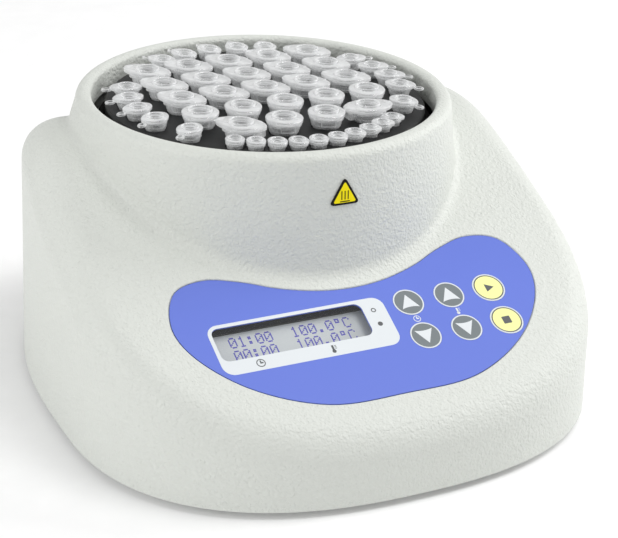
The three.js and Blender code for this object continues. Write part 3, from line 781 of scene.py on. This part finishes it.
GLYPHS = {
    "0": ("01110", "10001", "10011", "10101", "11001", "10001", "01110"),
    "1": ("00100", "01100", "00100", "00100", "00100", "00100", "01110"),
    ":": ("00000", "01100", "01100", "00000", "01100", "01100", "00000"),
    ".": ("00000", "00000", "00000", "00000", "00000", "01100", "01100"),
    "o": ("01110", "01010", "01110", "00000", "00000", "00000", "00000"),
    "C": ("01110", "10001", "10000", "10000", "10000", "10001", "01110"),
    " ": ("00000",) * 7
}
DISPLAY_ROWS = (" 01:00  100.0oC ", " 00:00  100.0oC ")


def build_display():
    """Character display: board, black metal frame, glass cell and its dots."""
    u, v = DISPLAY_U + 1.2, DISPLAY_V
    face = -WALL - 0.7
    cell = -4.5
    module = Solid()
    module.add(plate([rounded_box(DISPLAY_U - 40, DISPLAY_U + 40, v - 18, v + 18, 0.8)], -9.8, -8.2), 1)
    bezel = rounded_box(DISPLAY_U - 35.5, DISPLAY_U + 35.5, v - 12.2, v + 12.2, 0.8)
    opening = rounded_box(u - 32.2, u + 32.2, v - 7.2, v + 7.2, 0.4)
    module.add(plate([bezel, opening], -8.1, face))
    module.add(plate([rounded_box(u - 32.1, u + 32.1, v - 7.1, v + 7.1, 0.4)], -8.1, cell), 2)
    # Dots of five by seven in each character's cell.
    dot_u, dot_v, pitch_u, pitch_v = 0.55, 0.62, 0.6, 0.7
    char_u, char_v = 3.55, 5.95
    for row, text in enumerate(DISPLAY_ROWS):
        top = v + char_v - row * char_v - 0.5
        for column, letter in enumerate(text):
            left = u + (column - len(text) / 2) * char_u + 0.3
            for i, line in enumerate(GLYPHS[letter]):
                for j, lit in enumerate(line):
                    if lit == "1":
                        x, y = left + j * pitch_u, top - i * pitch_v
                        dot = rectangle(x, x + dot_u, y - dot_v, y)
                        module.add(plate([dot], cell, cell + 0.03), 3)
    finishes = "black_nylon solder_mask display_cell display_dot"
    module.make("character_display", "lcd_module", finishes, PANEL)


# ---- heated block

BLOCK_TURN = radians(1)
LARGE_PITCH = (18.2, 17.9)
LARGE_BACK_ROW = 35.8
LARGE_ROWS = (5, 5, 5, 5, 4)
RING_R = 55.5
MEDIUM_ANGLES = [24.5, 11.3, -1.6, -14.8, -35.5, 155.5, 168.5, 181.5, 195, 213.5]
MEDIUM_ANGLES += [90 + 12.6 * k for k in (-2, -1, 0, 1, 2)]
SMALL_ANGLES = [-90 + (i - 4.5) * 8.3 for i in range(10)]
# Radius at the mouth and depth of a well of each size.
LARGE_WELL, MEDIUM_WELL, SMALL_WELL = (5.8, 38.5), (4.1, 28), (3.3, 18)


def in_block(x, y):
    """Place of a point given from the block's axis, in the block's own frame."""
    c, s = cos(BLOCK_TURN), sin(BLOCK_TURN)
    return (BLOCK_X + x * c - y * s, TOWER_Y + x * s + y * c)


def large_places():
    places = []
    for row, count in enumerate(LARGE_ROWS):
        for i in range(count):
            x = (i - (count - 1) / 2) * LARGE_PITCH[0]
            places.append(in_block(x, LARGE_BACK_ROW - row * LARGE_PITCH[1]))
    return places


def ring_place(degrees):
    angle = radians(degrees)
    return in_block(RING_R * cos(angle), RING_R * sin(angle))


def build_block():
    wells = [(*place, *LARGE_WELL) for place in large_places()]
    wells += [(*ring_place(a), *MEDIUM_WELL) for a in MEDIUM_ANGLES]
    wells += [(*ring_place(a), *SMALL_WELL) for a in SMALL_ANGLES]
    chamfer, sides, edge = 0.8, 32, 0.35
    outer = 128
    top_loop = circle(BLOCK_X, TOWER_Y, BLOCK_R - chamfer, outer)
    loops = [top_loop] + [circle(x, y, r + edge, sides) for x, y, r, _ in wells]
    flat = [[Vector((x, y, 0)) for x, y in loop] for loop in loops]
    points = [(p.x, p.y, BLOCK_TOP) for loop in flat for p in loop]
    faces = [tuple(t) for t in tessellate_polygon(flat)]
    # Outside wall and underside.
    axis = (BLOCK_X, TOWER_Y)
    rim = [around(BLOCK_R, z, outer, axis) for z in (BLOCK_TOP - chamfer, BLOCK_BOTTOM)]
    start = len(points)
    points += rim[0] + rim[1]
    faces += band(0, start, outer) + band(start, start + outer, outer)
    faces.append(tuple(range(start + outer, start + 2 * outer)))
    # Wells: a broken edge, a straight wall, a taper and a flat bottom.
    mouth = outer
    for x, y, r, depth in wells:
        rows = [
            around(r, BLOCK_TOP - edge, sides, (x, y)),
            around(r, BLOCK_TOP - 0.55 * depth, sides, (x, y)),
            around(0.42 * r, BLOCK_TOP - depth, sides, (x, y))
        ]
        above = mouth
        for row in rows:
            start = len(points)
            points += row
            faces += band(above, start, sides)
            above = start
        faces.append(tuple(range(above, above + sides)))
        mouth += sides
    Solid().add((points, faces)).make("well_block", "heating_block", "anodised", sharp=30)
    inner, top, low = BLOCK_R + GAP, COLLAR_TOP, COLLAR_BOTTOM
    collar = [(inner, low), (COLLAR_R, low), (COLLAR_R, top - 0.6), (COLLAR_R - 0.6, top)]
    collar += [(inner + 0.6, top), (inner, top - 0.6)]
    Solid().add(turned(collar, 128, axis)).make("collar_ring", "block_collar", "collar_silicone_and_shade")


# ---- tubes


def lens(half_width, hinge_end, tab_end, power=1.8):
    """Radius as a function of the angle: an oval with its hinge end at +Y and its tab end at -Y."""
    def radius(angle, grow=0.0):
        across = abs(cos(angle)) / (half_width + grow)
        reach = (hinge_end if sin(angle) > 0 else tab_end) + grow
        along = abs(sin(angle)) / reach
        return (across**power + along**power) ** (-1 / power)

    return radius


def lid_plate(outline, hole, low, high, edge):
    """Oval lid plate with rounded edges round a dish of radius hole."""
    sides = 56

    def row(z, grow):
        return around(lambda a: outline(a, grow), z, sides)

    return grid(
        [
            around(hole, low, sides), around(hole, high - 0.3, sides), around(hole + 0.3, high, sides),
            row(high, -1.9 * edge), row(high - 0.2 * edge, -edge),
            row(high - 0.55 * edge, -0.35 * edge), row(high - edge, 0), row(low + 0.6 * edge, 0),
            row(low + 0.2 * edge, -0.4 * edge), row(low, -edge)
        ]
    )


def tube_body(tube, wall, length, neck, neck_top, lid_top, dish, ribs):
    """Tapered tube, its ribbed neck above the block, and the plug and ring of its closed lid."""
    thick = 0.9
    straight = 0.5 * length
    inner = wall - thick
    outside = [(0, -length), (0.3 * wall, -length + 0.1), (0.4 * wall, -length + 1)]
    outside += [(0.98 * wall, -straight), (wall, 0.35), (neck, 0.35), (neck, 0.9)]
    inside = [(inner + 0.3, 1.0), (inner, -1), (inner, -straight), (0.2 * wall, -length + 1.4)]
    tube.add(turned([*outside, *inside, (0, -length + 1.2)], 28))
    waves = ribs * 4
    rows = []
    for k in range(5):
        z = 0.95 + (neck_top - 0.95) * k / 4
        swell = 0.25 * sin(pi * k / 4)
        rows.append(around(lambda a: neck + swell + 0.16 * cos(ribs * a + 0.9 * k), z, waves))
    tube.add(grid(rows + [around(inner + 0.35, z, waves) for z in (neck_top, 0.95)]))
    # Inner ring of the lid, its floor and the plug below it.
    floor = neck_top + 0.25
    ring_r = dish + 0.75
    plug = [(0, floor - 0.7), (inner - 0.9, floor - 0.7), (inner - 0.8, -1.2), (inner - 0.1, -1.0)]
    plug += [(inner - 0.05, floor), (dish - 0.1, floor + 0.4)]
    ring = [(dish - 0.1, lid_top - 0.25), (dish + 0.15, lid_top), (ring_r - 0.15, lid_top)]
    ring += [(ring_r, lid_top - 0.25), (ring_r, lid_top - 0.9), (dish - 0.5, lid_top - 1.2)]
    tube.add(turned([*plug, *ring, (dish - 0.5, floor + 0.7), (dish - 1.2, floor + 0.1), (0, floor)], 40))


def build_tube_meshes():
    meshes = {}
    for name, outline in (("long", lens(6.8, 10.5, 10.6)), ("round", lens(7.3, 8.4, 7.6, 2.0))):
        tube = Solid()
        tube_body(tube, wall=5.35, length=37.3, neck=5.9, neck_top=3.3, lid_top=6.8, dish=4.2, ribs=18)
        tube.add(lid_plate(outline, 4.95, 4.3, 6.1, 0.5))
        tube.add(lid_plate(lambda a, grow: min(outline(a, grow - 0.45), 7.4 + grow), 5.6, 3.1, 4.15, 0.3))
        # Ribs across the tab.
        far = outline(-pi / 2)
        for i in range(4):
            y = -far + 1.0 + 0.55 * i
            half = 1.0 + 0.35 * i
            tube.add(block_of(-half, half, y - 0.14, y + 0.14, 5.75, 6.2, 0.06, 1))
        # Strap from the lid's hinge end down to the neck, and the wings beside the tab.
        reach = outline(pi / 2)
        tube.add(block_of(-2.9, 2.9, reach - 3.4, reach - 1.2, 1.4, 4.0, 0.5))
        tube.add(block_of(-2.4, 2.4, 5.4, reach - 3.0, 1.2, 2.3, 0.4))
        for side in (-1, 1):
            x = side * 3.6
            tube.add(block_of(x - 0.5, x + 0.5, reach - 5.2, reach - 3.4, 5.6, 6.35, 0.2, 2))
        meshes[name] = tube.mesh("tube_" + name, "polypropylene")

    medium = Solid()
    tube_body(medium, wall=3.85, length=27, neck=4.2, neck_top=2.6, lid_top=5.4, dish=2.9, ribs=14)
    medium.add(lid_plate(lens(4.9, 6.9, 6.2), 3.5, 3.4, 4.9, 0.4))
    medium.add(lid_plate(lens(4.6, 5.2, 5.2), 4.0, 2.4, 3.25, 0.25))
    medium.add(strap_loop(6.0, 10.3, 1.6, 2.9, 1.0))
    meshes["medium"] = medium.mesh("tube_medium", "polypropylene")

    small = Solid()
    tube_body(small, wall=3.05, length=17, neck=3.2, neck_top=1.3, lid_top=3.8, dish=2.2, ribs=10)
    small.add(lid_plate(lens(3.75, 4.9, 4.3, 2.0), 2.85, 2.2, 3.5, 0.35))
    small.add(lid_plate(lens(3.6, 3.8, 3.8, 2.0), 3.0, 1.2, 2.05, 0.2))
    meshes["small"] = small.mesh("tube_small", "polypropylene")
    return meshes


def strap_loop(near, far, half, low, thick):
    """Flat open loop, the strap of a lid folded back on itself."""
    sides = 20
    middle, reach = (near + far) / 2, (far - near) / 2
    section = ((0.5, 0.6, 0), (0.5, 0.6, 1), (0.85, 0.9, 1))
    section += ((1.0, 1.0, 0.7), (1.0, 1.0, 0.3), (0.85, 0.9, 0))
    rings = []
    for wide, long, up in section:
        z = low + up * thick
        turns = [TAU * i / sides for i in range(sides)]
        rings.append([(half * wide * cos(t), middle + reach * long * sin(t), z) for t in turns])
    return grid(rings)


def build_tubes():
    meshes = build_tube_meshes()
    spread = (-3, 5, 0, -5, 3)
    front_row = (-45, -105, -108, 185)

    def stand(kind, name, place, degrees, replaces=()):
        turn = Matrix.Rotation(radians(degrees - 90), 4, "Z")
        at = Matrix.Translation(Vector((*place, BLOCK_TOP)) * MM) @ turn
        show(meshes[kind], name, "tubes", replaces, at)

    for i, place in enumerate(large_places()):
        way = -45 if i < 15 else -104 if i < 20 else front_row[i - 20]
        kind = "round" if way < -100 else "long"
        number = "%02d" % (i + 1)
        stand(kind, "large_" + number, place, way + spread[i % len(spread)], ["tube_" + number])
    rng = random.Random(4)
    for i, angle in enumerate(MEDIUM_ANGLES):
        lean = -25 if i < 5 else 12
        stand("medium", "medium_%02d" % (i + 1), ring_place(angle), angle + lean + rng.uniform(-7, 7))
    for i, angle in enumerate(SMALL_ANGLES):
        stand("small", "small_%02d" % (i + 1), ring_place(angle), angle + rng.uniform(-25, 25))


# ---- underside and rear


CORNERS = ("front_left", "front_right", "rear_left", "rear_right")


def middle_mm(node):
    low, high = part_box(node)
    return (low + high) / 2 / MM


def post(floor, top, radius, middle):
    """Moulded post with a flared foot sunk into the floor and a rounded rim."""
    profile = [
        (0, floor - 0.5), (radius + 0.9, floor - 0.5), (radius + 0.9, floor),
        (radius + 0.3, floor + 0.5), (radius, floor + 1.4), (0.95 * radius, top - 0.4),
        (0.95 * radius - 0.4, top), (0.4 * radius, top), (0.4 * radius, top - 1.2), (0, top - 1.2)
    ]
    return turned(profile, 32, middle)


def build_underside():
    sides = 192
    floor_high = FLOOR_BOTTOM + 2.5
    loop = []
    for j in range(sides):
        angle = TAU * j / sides
        r = wall_radius(angle, HOUSING_BOTTOM) - WALL - 2 * GAP
        loop.append((r * cos(angle), TOWER_Y + r * sin(angle)))
    holes = []
    for corner in CORNERS:
        for kind, radius in (("foot_", 2.9), ("base_screw_", 3.5)):
            middle = middle_mm(kind + corner)
            holes.append(circle(middle.x, middle.y, radius, 32))
    slots = []
    for side in (-1, 1):
        for i in range(7):
            x = side * (12 + 5 * i)
            slots.append(rounded_box(x - 1.2, x + 1.2, -60, -36, 1.1, 4))
    cover = Solid()
    cover.add(plate([loop, *holes, *slots], FLOOR_BOTTOM, floor_high))
    # Three posts carry the block's plate, and four stand-offs the board.
    post_circle = 50
    for degrees in (90, 210, 330):
        angle = radians(degrees)
        middle = (post_circle * cos(angle), TOWER_Y + post_circle * sin(angle))
        cover.add(post(floor_high, high_mm("base_plate").z, 5, middle))
    board_low, board_high = low_mm("control_board"), high_mm("control_board")
    for x in (board_low.x + 5, board_high.x - 5):
        for y in (board_low.y + 5, board_high.y - 5):
            cover.add(post(floor_high, board_low.z - GAP, 3, (x, y)))
    cover.make("base_cover", "base_plate", "base_plastic")
    for corner in CORNERS:
        low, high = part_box("foot_" + corner)
        middle = middle_mm("foot_" + corner)
        tall = high.z / MM
        radius = (high.x - low.x) / MM / 2
        shelf = FLOOR_BOTTOM - GAP
        profile = [(0, 0.5), (4.2, 0.5), (4.6, 0), (radius - 1.2, 0), (radius - 0.3, 0.35)]
        profile += [(radius, 1.1), (radius, 2.6), (radius - 0.4, shelf), (2.4, shelf)]
        profile += [(2.4, tall - 0.4), (2.0, tall), (0, tall)]
        foot = Solid().add(turned(profile, 48, (middle.x, middle.y)))
        foot.make("rubber_foot_" + corner, "foot_" + corner, "foot_rubber")


# ---- rear fittings, screws and label

# Local (x, y, z) of the rear pocket: x runs to the left of the instrument, y up and z outwards.
REAR = Matrix(
    ((-1, 0, 0, 0), (0, 0, 1, REAR_FACE), (0, 1, 0, (POCKET_LOW + POCKET_HIGH) / 2), (0, 0, 0, 1))
)


def framed(outer, inner, low, high, edge):
    """Frame with soft front edges; outer(grow) and inner(grow) give loops of equal length."""
    rows = [(inner(0), low), (inner(0), high - edge), (inner(edge), high), (outer(-edge), high)]
    rows += [(outer(-0.3 * edge), high - 0.3 * edge), (outer(0), high - edge), (outer(0), low)]
    return grid([[(x, y, z) for x, y in loop] for loop, z in rows])


def centred_box(x, half_x, half_y, radius):
    def loop(grow=0.0):
        wide, tall = half_x + grow, half_y + grow
        return rounded_box(x - wide, x + wide, -tall, tall, max(0.05, radius + grow), 5)

    return loop


def build_rear():
    x = -ROCKER_X
    hole = centred_box(x, 7.6, 4.6, 0.4)
    case = Solid()
    case.add(framed(centred_box(x, 10.5, 7.5, 1.2), hole, GAP, 2, 0.6))
    case.add(framed(centred_box(x, 9.45, 6.45, 0.4), hole, -12.5, GAP, 0.05))
    case.add(plate([centred_box(x, 9.4, 6.4, 0.4)()], -14.9, -12.5))
    for side in (-1, 1):
        # Spring clips beside the body and the solder tabs behind it.
        clip = [(x + side * 9.5, -2), (x + side * 9.5, 2), (x + side * 9.75, 2), (x + side * 9.75, -2)]
        case.add(plate([clip], -8, -3.6))
        tab = rounded_box(x + side * 4 - 0.4, x + side * 4 + 0.4, -2.4, 2.4, 0.1, 2)
        case.add(plate([tab], -21, -14.9), 1)
    case.make("switch_case", "power_switch_body", "black_nylon nickel_contact", REAR)

    tilt = Matrix.Translation((ROCKER_X, REAR_FACE + 0.6, (POCKET_LOW + POCKET_HIGH) / 2))
    tilt = tilt @ Matrix.Rotation(radians(7), 4, "Z")
    reach, half_height = 7.0, 4.2

    def face(along):
        return 0.9 + 0.8 * (along / reach) ** 2

    def section(inset):
        wide = reach - inset
        front = [wide - 2 * wide * i / 16 for i in range(17)]
        return [(a, face(a) - inset) for a in front] + [(-wide, -1.6), (0, -4.4 + inset), (wide, -1.6)]

    rows = ((half_height, 0.45), (half_height - 0.15, 0.15), (half_height - 0.45, 0))
    levels = [(-z, inset) for z, inset in rows] + [(z, inset) for z, inset in rows[::-1]]
    rocker = Solid().add(capped([[(a, b, z) for a, b in section(inset)] for z, inset in levels]))
    ring = [circle(0, 0, r, 32) for r in (1.5, 1.1)]
    bar = [rounded_box(-0.22, 0.22, -1.5, 1.5, 0.1, 2)]
    for side, sign in ((-1, ring), (1, bar)):
        lean = atan(1.6 * 3.6 / reach**2) * side
        at = Matrix.Translation((side * 3.6, face(3.6), 0)) @ Matrix.Rotation(lean, 4, "Z")
        at = at @ Matrix.Rotation(radians(-90), 4, "X")
        rocker.add(plate(sign, -0.04, 0.05), 1, at)
    rocker.make("rocker_cap", "power_rocker", "black_nylon film_light", tilt)

    socket = Solid()
    barrel = [(1.9, -11.8), (INLET_R - 0.4, -11.8), (INLET_R, -11.4), (INLET_R, GAP), (INLET_R + 1.2, GAP)]
    barrel += [(INLET_R + 1.2, 1.2), (INLET_R + 0.8, 1.6), (3.7, 1.6), (3.3, 1.2), (3.3, -8), (1.9, -8)]
    socket.add(turned(barrel, 48, (-INLET_X, 0)))
    pin = [(0, -11.9), (1.8, -11.9), (1.8, -8.1), (1, -7.9), (1, -0.9), (0.6, -0.3), (0, -0.2)]
    socket.add(turned(pin, 24, (-INLET_X, 0)), 1)
    lining = [(3.05, -7.9), (3.28, -7.9), (3.28, 0.2), (3.05, 0.2)]
    socket.add(turned(lining, 32, (-INLET_X, 0)), 1)
    socket.make("inlet_socket", "dc_inlet", "black_nylon nickel_contact", REAR)


def build_screws():
    head = 3.0
    for corner in CORNERS:
        low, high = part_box("base_screw_" + corner)
        at = ((low.x + high.x) / 2 / MM, (low.y + high.y) / 2 / MM)
        bottom, top = low.z / MM, high.z / MM
        screw = Solid()
        cross = []
        for i in range(4):
            turn = Matrix.Rotation(radians(90 * i), 2)
            for corner_point in ((1.5, -0.35), (1.5, 0.35), (0.35, 0.35)):
                p = turn @ Vector(corner_point)
                cross.append((at[0] + p.x, at[1] + p.y))
        screw.add(plate([circle(*at, head - 0.35, 40), cross], bottom, bottom + 0.9))
        rim = [(head - 0.37, bottom + 0.02), (head - 0.1, bottom + 0.2), (head, bottom + 0.5)]
        rim += [(head, bottom + 1.2), (head - 0.37, bottom + 1.2)]
        screw.add(turned(rim, 40, at))
        thread = [(0, bottom + 0.9), (head - 0.1, bottom + 0.9), (head - 0.1, bottom + 1.3)]
        z = bottom + 1.3
        while z < top - 1.6:
            thread += [(1.15, z + 0.1), (1.45, z + 0.5)]
            z += 0.9
        thread += [(1.1, top - 1.4), (0, top)]
        screw.add(turned(thread, 20, at))
        screw.make("screw_" + corner, "base_screw_" + corner, "zinc_steel")


def build_label():
    """Triangular sticker that follows the tower's wall, with a dark border and a plain mark."""
    side, height_z, wall_r, lean = 12.5, 93.2, 76.15, radians(3)
    tall = side * sin(radians(60))

    def triangle(inset, radius):
        """Triangle with round corners; its centre is the origin."""
        loop = []
        size = 2 * tall / 3 - 2 * (inset + radius)
        for i in range(3):
            middle = radians(90 + 120 * i)
            x, y = size * cos(middle), size * sin(middle)
            for k in range(9):
                angle = middle + radians(-60 + 120 * k / 8)
                loop.append((x + radius * cos(angle), y + radius * sin(angle)))
        return loop

    def bent(shell):
        points, faces = shell
        moved = []
        for u, v, n in points:
            r = wall_r + GAP + n - v * sin(lean)
            u -= 1.5
            moved.append((r * sin(u / r), TOWER_Y - r * cos(u / r), height_z + v * cos(lean)))
        return moved, faces

    def strips(outline, low, high, mark):
        """Plate cut into narrow rows, so that it can bend."""
        rows, steps = 24, 16
        top = max(v for _, v in outline)
        bottom = min(v for _, v in outline)
        rings = []
        for i in range(rows + 1):
            v = bottom + (top - bottom) * (0.001 + 0.998 * i / rows)
            across = []
            for k, (u0, v0) in enumerate(outline):
                u1, v1 = outline[(k + 1) % len(outline)]
                if (v0 - v) * (v1 - v) < 0:
                    across.append(u0 + (u1 - u0) * (v - v0) / (v1 - v0))
            left, right = min(across), max(across)
            line = [(left + (right - left) * k / steps, v) for k in range(steps + 1)]
            rings.append([(u, w, low) for u, w in line] + [(u, w, high) for u, w in line[::-1]])
        sticker.add(bent(capped(rings)), mark)

    sticker = Solid()
    strips(triangle(0, 0.9), -0.15, 0.2, 1)
    strips(triangle(0.85, 0.45), 0.2, 0.26, 0)
    for i in (-1, 0, 1):
        middle = 1.3 * i
        strips(rounded_box(middle - 0.2, middle + 0.2, -1.6, 1.9, 0.15, 3), 0.26, 0.3, 1)
    strips(rounded_box(-2.0, 2.0, -2.45, -2.05, 0.15, 3), 0.26, 0.3, 1)
    sticker.make("heat_sticker", "hot_surface_label", "label_yellow label_dark")


# ---- inside


def ringed(node, edge, grooves=()):
    """Disc of a node's own size with its hole, soft edges and shallow grooves in its top."""
    low, high = low_mm(node), high_mm(node)
    radius, bottom, top = (high.x - low.x) / 2, low.z, high.z
    hole = 2.6
    profile = [(hole, bottom), (radius - edge, bottom), (radius, bottom + edge), (radius, top - edge)]
    profile += [(radius - edge, top)]
    for r in sorted(grooves, reverse=True):
        profile += [(r + 0.7, top), (r + 0.5, top - edge), (r - 0.5, top - edge), (r - 0.7, top)]
    profile += [(hole, top)]
    return turned(profile, 96, (BLOCK_X, TOWER_Y))


def build_stack():
    tracks = [8 + 4 * i for i in range(13)]
    mat = Solid().add(ringed("heater_disc", 0.25, tracks))
    mat.make("heater_mat", "heater_disc", "heater_silicone", sharp=20)
    felt = Solid().add(ringed("insulation_disc", 0.8, [20, 40]))
    felt.make("felt_disc", "insulation_disc", "mineral_felt")
    carrier = Solid().add(ringed("carrier_plate", 0.3, [61, 30]))
    carrier.make("carrier_disc", "carrier_plate", "zinc_steel", sharp=20)
    low, high = low_mm("thermal_cutout"), high_mm("thermal_cutout")
    middle_x, middle_y = (low.x + high.x) / 2, (low.y + high.y) / 2
    cutout = Solid()
    cutout.add(block_of(low.x, high.x, low.y, high.y, 42, high.z, 0.6))
    button = [(0, low.z), (2.6, low.z), (3, low.z + 0.4), (3, 42.2), (0, 42.2)]
    cutout.add(turned(button, 32, (middle_x, middle_y)))
    for side in (-1, 1):
        eye = [circle(middle_x + side * 5, middle_y, r, 24) for r in (1.7, 0.9)]
        cutout.add(plate(eye, 41.4, 42), 1)
    cutout.make("cutout_switch", "thermal_cutout", "black_nylon nickel_contact")


def chip(board, x0, x1, y0, y1, low, high, legs):
    """Flat package with rows of bent legs along two sides."""
    board.add(block_of(x0, x1, y0, y1, low + 0.3, high, 0.3), 1)
    for i in range(legs):
        x = x0 + (x1 - x0) * (i + 0.5) / legs
        for y, side in ((y0, -1), (y1, 1)):
            near, far = sorted((y + side * 1.2, y - side * 0.1))
            board.add(block_of(x - 0.3, x + 0.3, near, far, low, low + 0.5, 0.1, 1), 2)


def build_boards():
    low, high = low_mm("control_board"), high_mm("control_board")
    top = low.z + 1.6
    board = Solid()
    corners = [(x, y) for y in (low.y + 5, high.y - 5) for x in (low.x + 5, high.x - 5)]
    outline = rounded_box(low.x, high.x, low.y, high.y, 2)
    board.add(plate([outline, *[circle(x, y, 1.6, 20) for x, y in corners]], low.z, top))
    for x, y in corners:
        board.add(plate([circle(x, y, 2.6, 24), circle(x, y, 1.7, 24)], top, top + 0.05), 2)
    # Relay, processor, and the connector with its five contacts.
    board.add(block_of(-46, -22, -60, -38, top, 28, 0.5), 1)
    chip(board, -8, 10, -56.8, -41.2, top, 20.8, 10)
    board.add(block_of(30, 50, -36, -26, top, 26.6, 0.4), 3)
    for i in range(5):
        x = 32.5 + 3.75 * i
        board.add(turned([(0, 26.4), (1.2, 26.4), (1.2, 26.9), (0, 26.9)], 16, (x, -31)), 2)
    # Capacitor with the groove round its can, then small parts at random.
    can = [(0, top), (5, top), (5, 18.4), (4.7, 18.8), (5, 19.2), (5, 29.5), (4.6, 30), (0, 30)]
    board.add(turned(can, 32, (24, -56)), 1)
    rng = random.Random(7)
    for _ in range(46):
        x, y = rng.uniform(low.x + 9, high.x - 9), rng.uniform(low.y + 4, high.y - 4)
        # The front strip stays clear round the big parts.
        if y < -22 and (-50 < x < -18 or -12 < x < 14 or 16 < x < 54):
            continue
        board.add(block_of(x - 1.0, x + 1.0, y - 0.6, y + 0.6, top, top + 0.6, 0.12, 1), rng.choice((1, 3)))
    board.make("main_board", "control_board", "solder_mask black_nylon nickel_contact mineral_felt")
    pads = Solid()
    pads.add(plate([rounded_box(11, 62, -39, -7, 1.5)], -8, -6.4))
    # A switch with its round button and four soldered legs under each key.
    for key in KEYS:
        u, v = key["u"], key["v"]
        pads.add(block_of(u - 3, u + 3, v - 3, v + 3, -6.4, -5.4, 0.15, 2), 2)
        pads.add(turned([(0, -5.4), (1.9, -5.4), (1.7, -4.8), (1.5, -4.7), (0, -4.7)], 24, (u, v)), 1)
        for dx in (-2.6, 2.6):
            for dy in (-2.6, 2.6):
                joint = [(0, -6.4), (0.7, -6.4), (0.4, -6.15), (0, -6.1)]
                pads.add(turned(joint, 10, (u + dx * 1.25, v + dy)), 2)
    pads.make("key_board", "switch_board", "solder_mask black_nylon nickel_contact", PANEL)


def build_wiring():
    for node in ("ribbon_cable", "heater_lead", "power_lead", "block_sensor"):
        data = frame["nodes"][node].data
        data.materials.clear()
        data.materials.append(FINISH["wire_sleeve"])


build_stage()
build_materials()
build_housing()
build_overlay()
build_keys()
build_display()
build_block()
build_tubes()
build_underside()
build_rear()
build_screws()
build_label()
build_stack()
build_boards()
build_wiring()
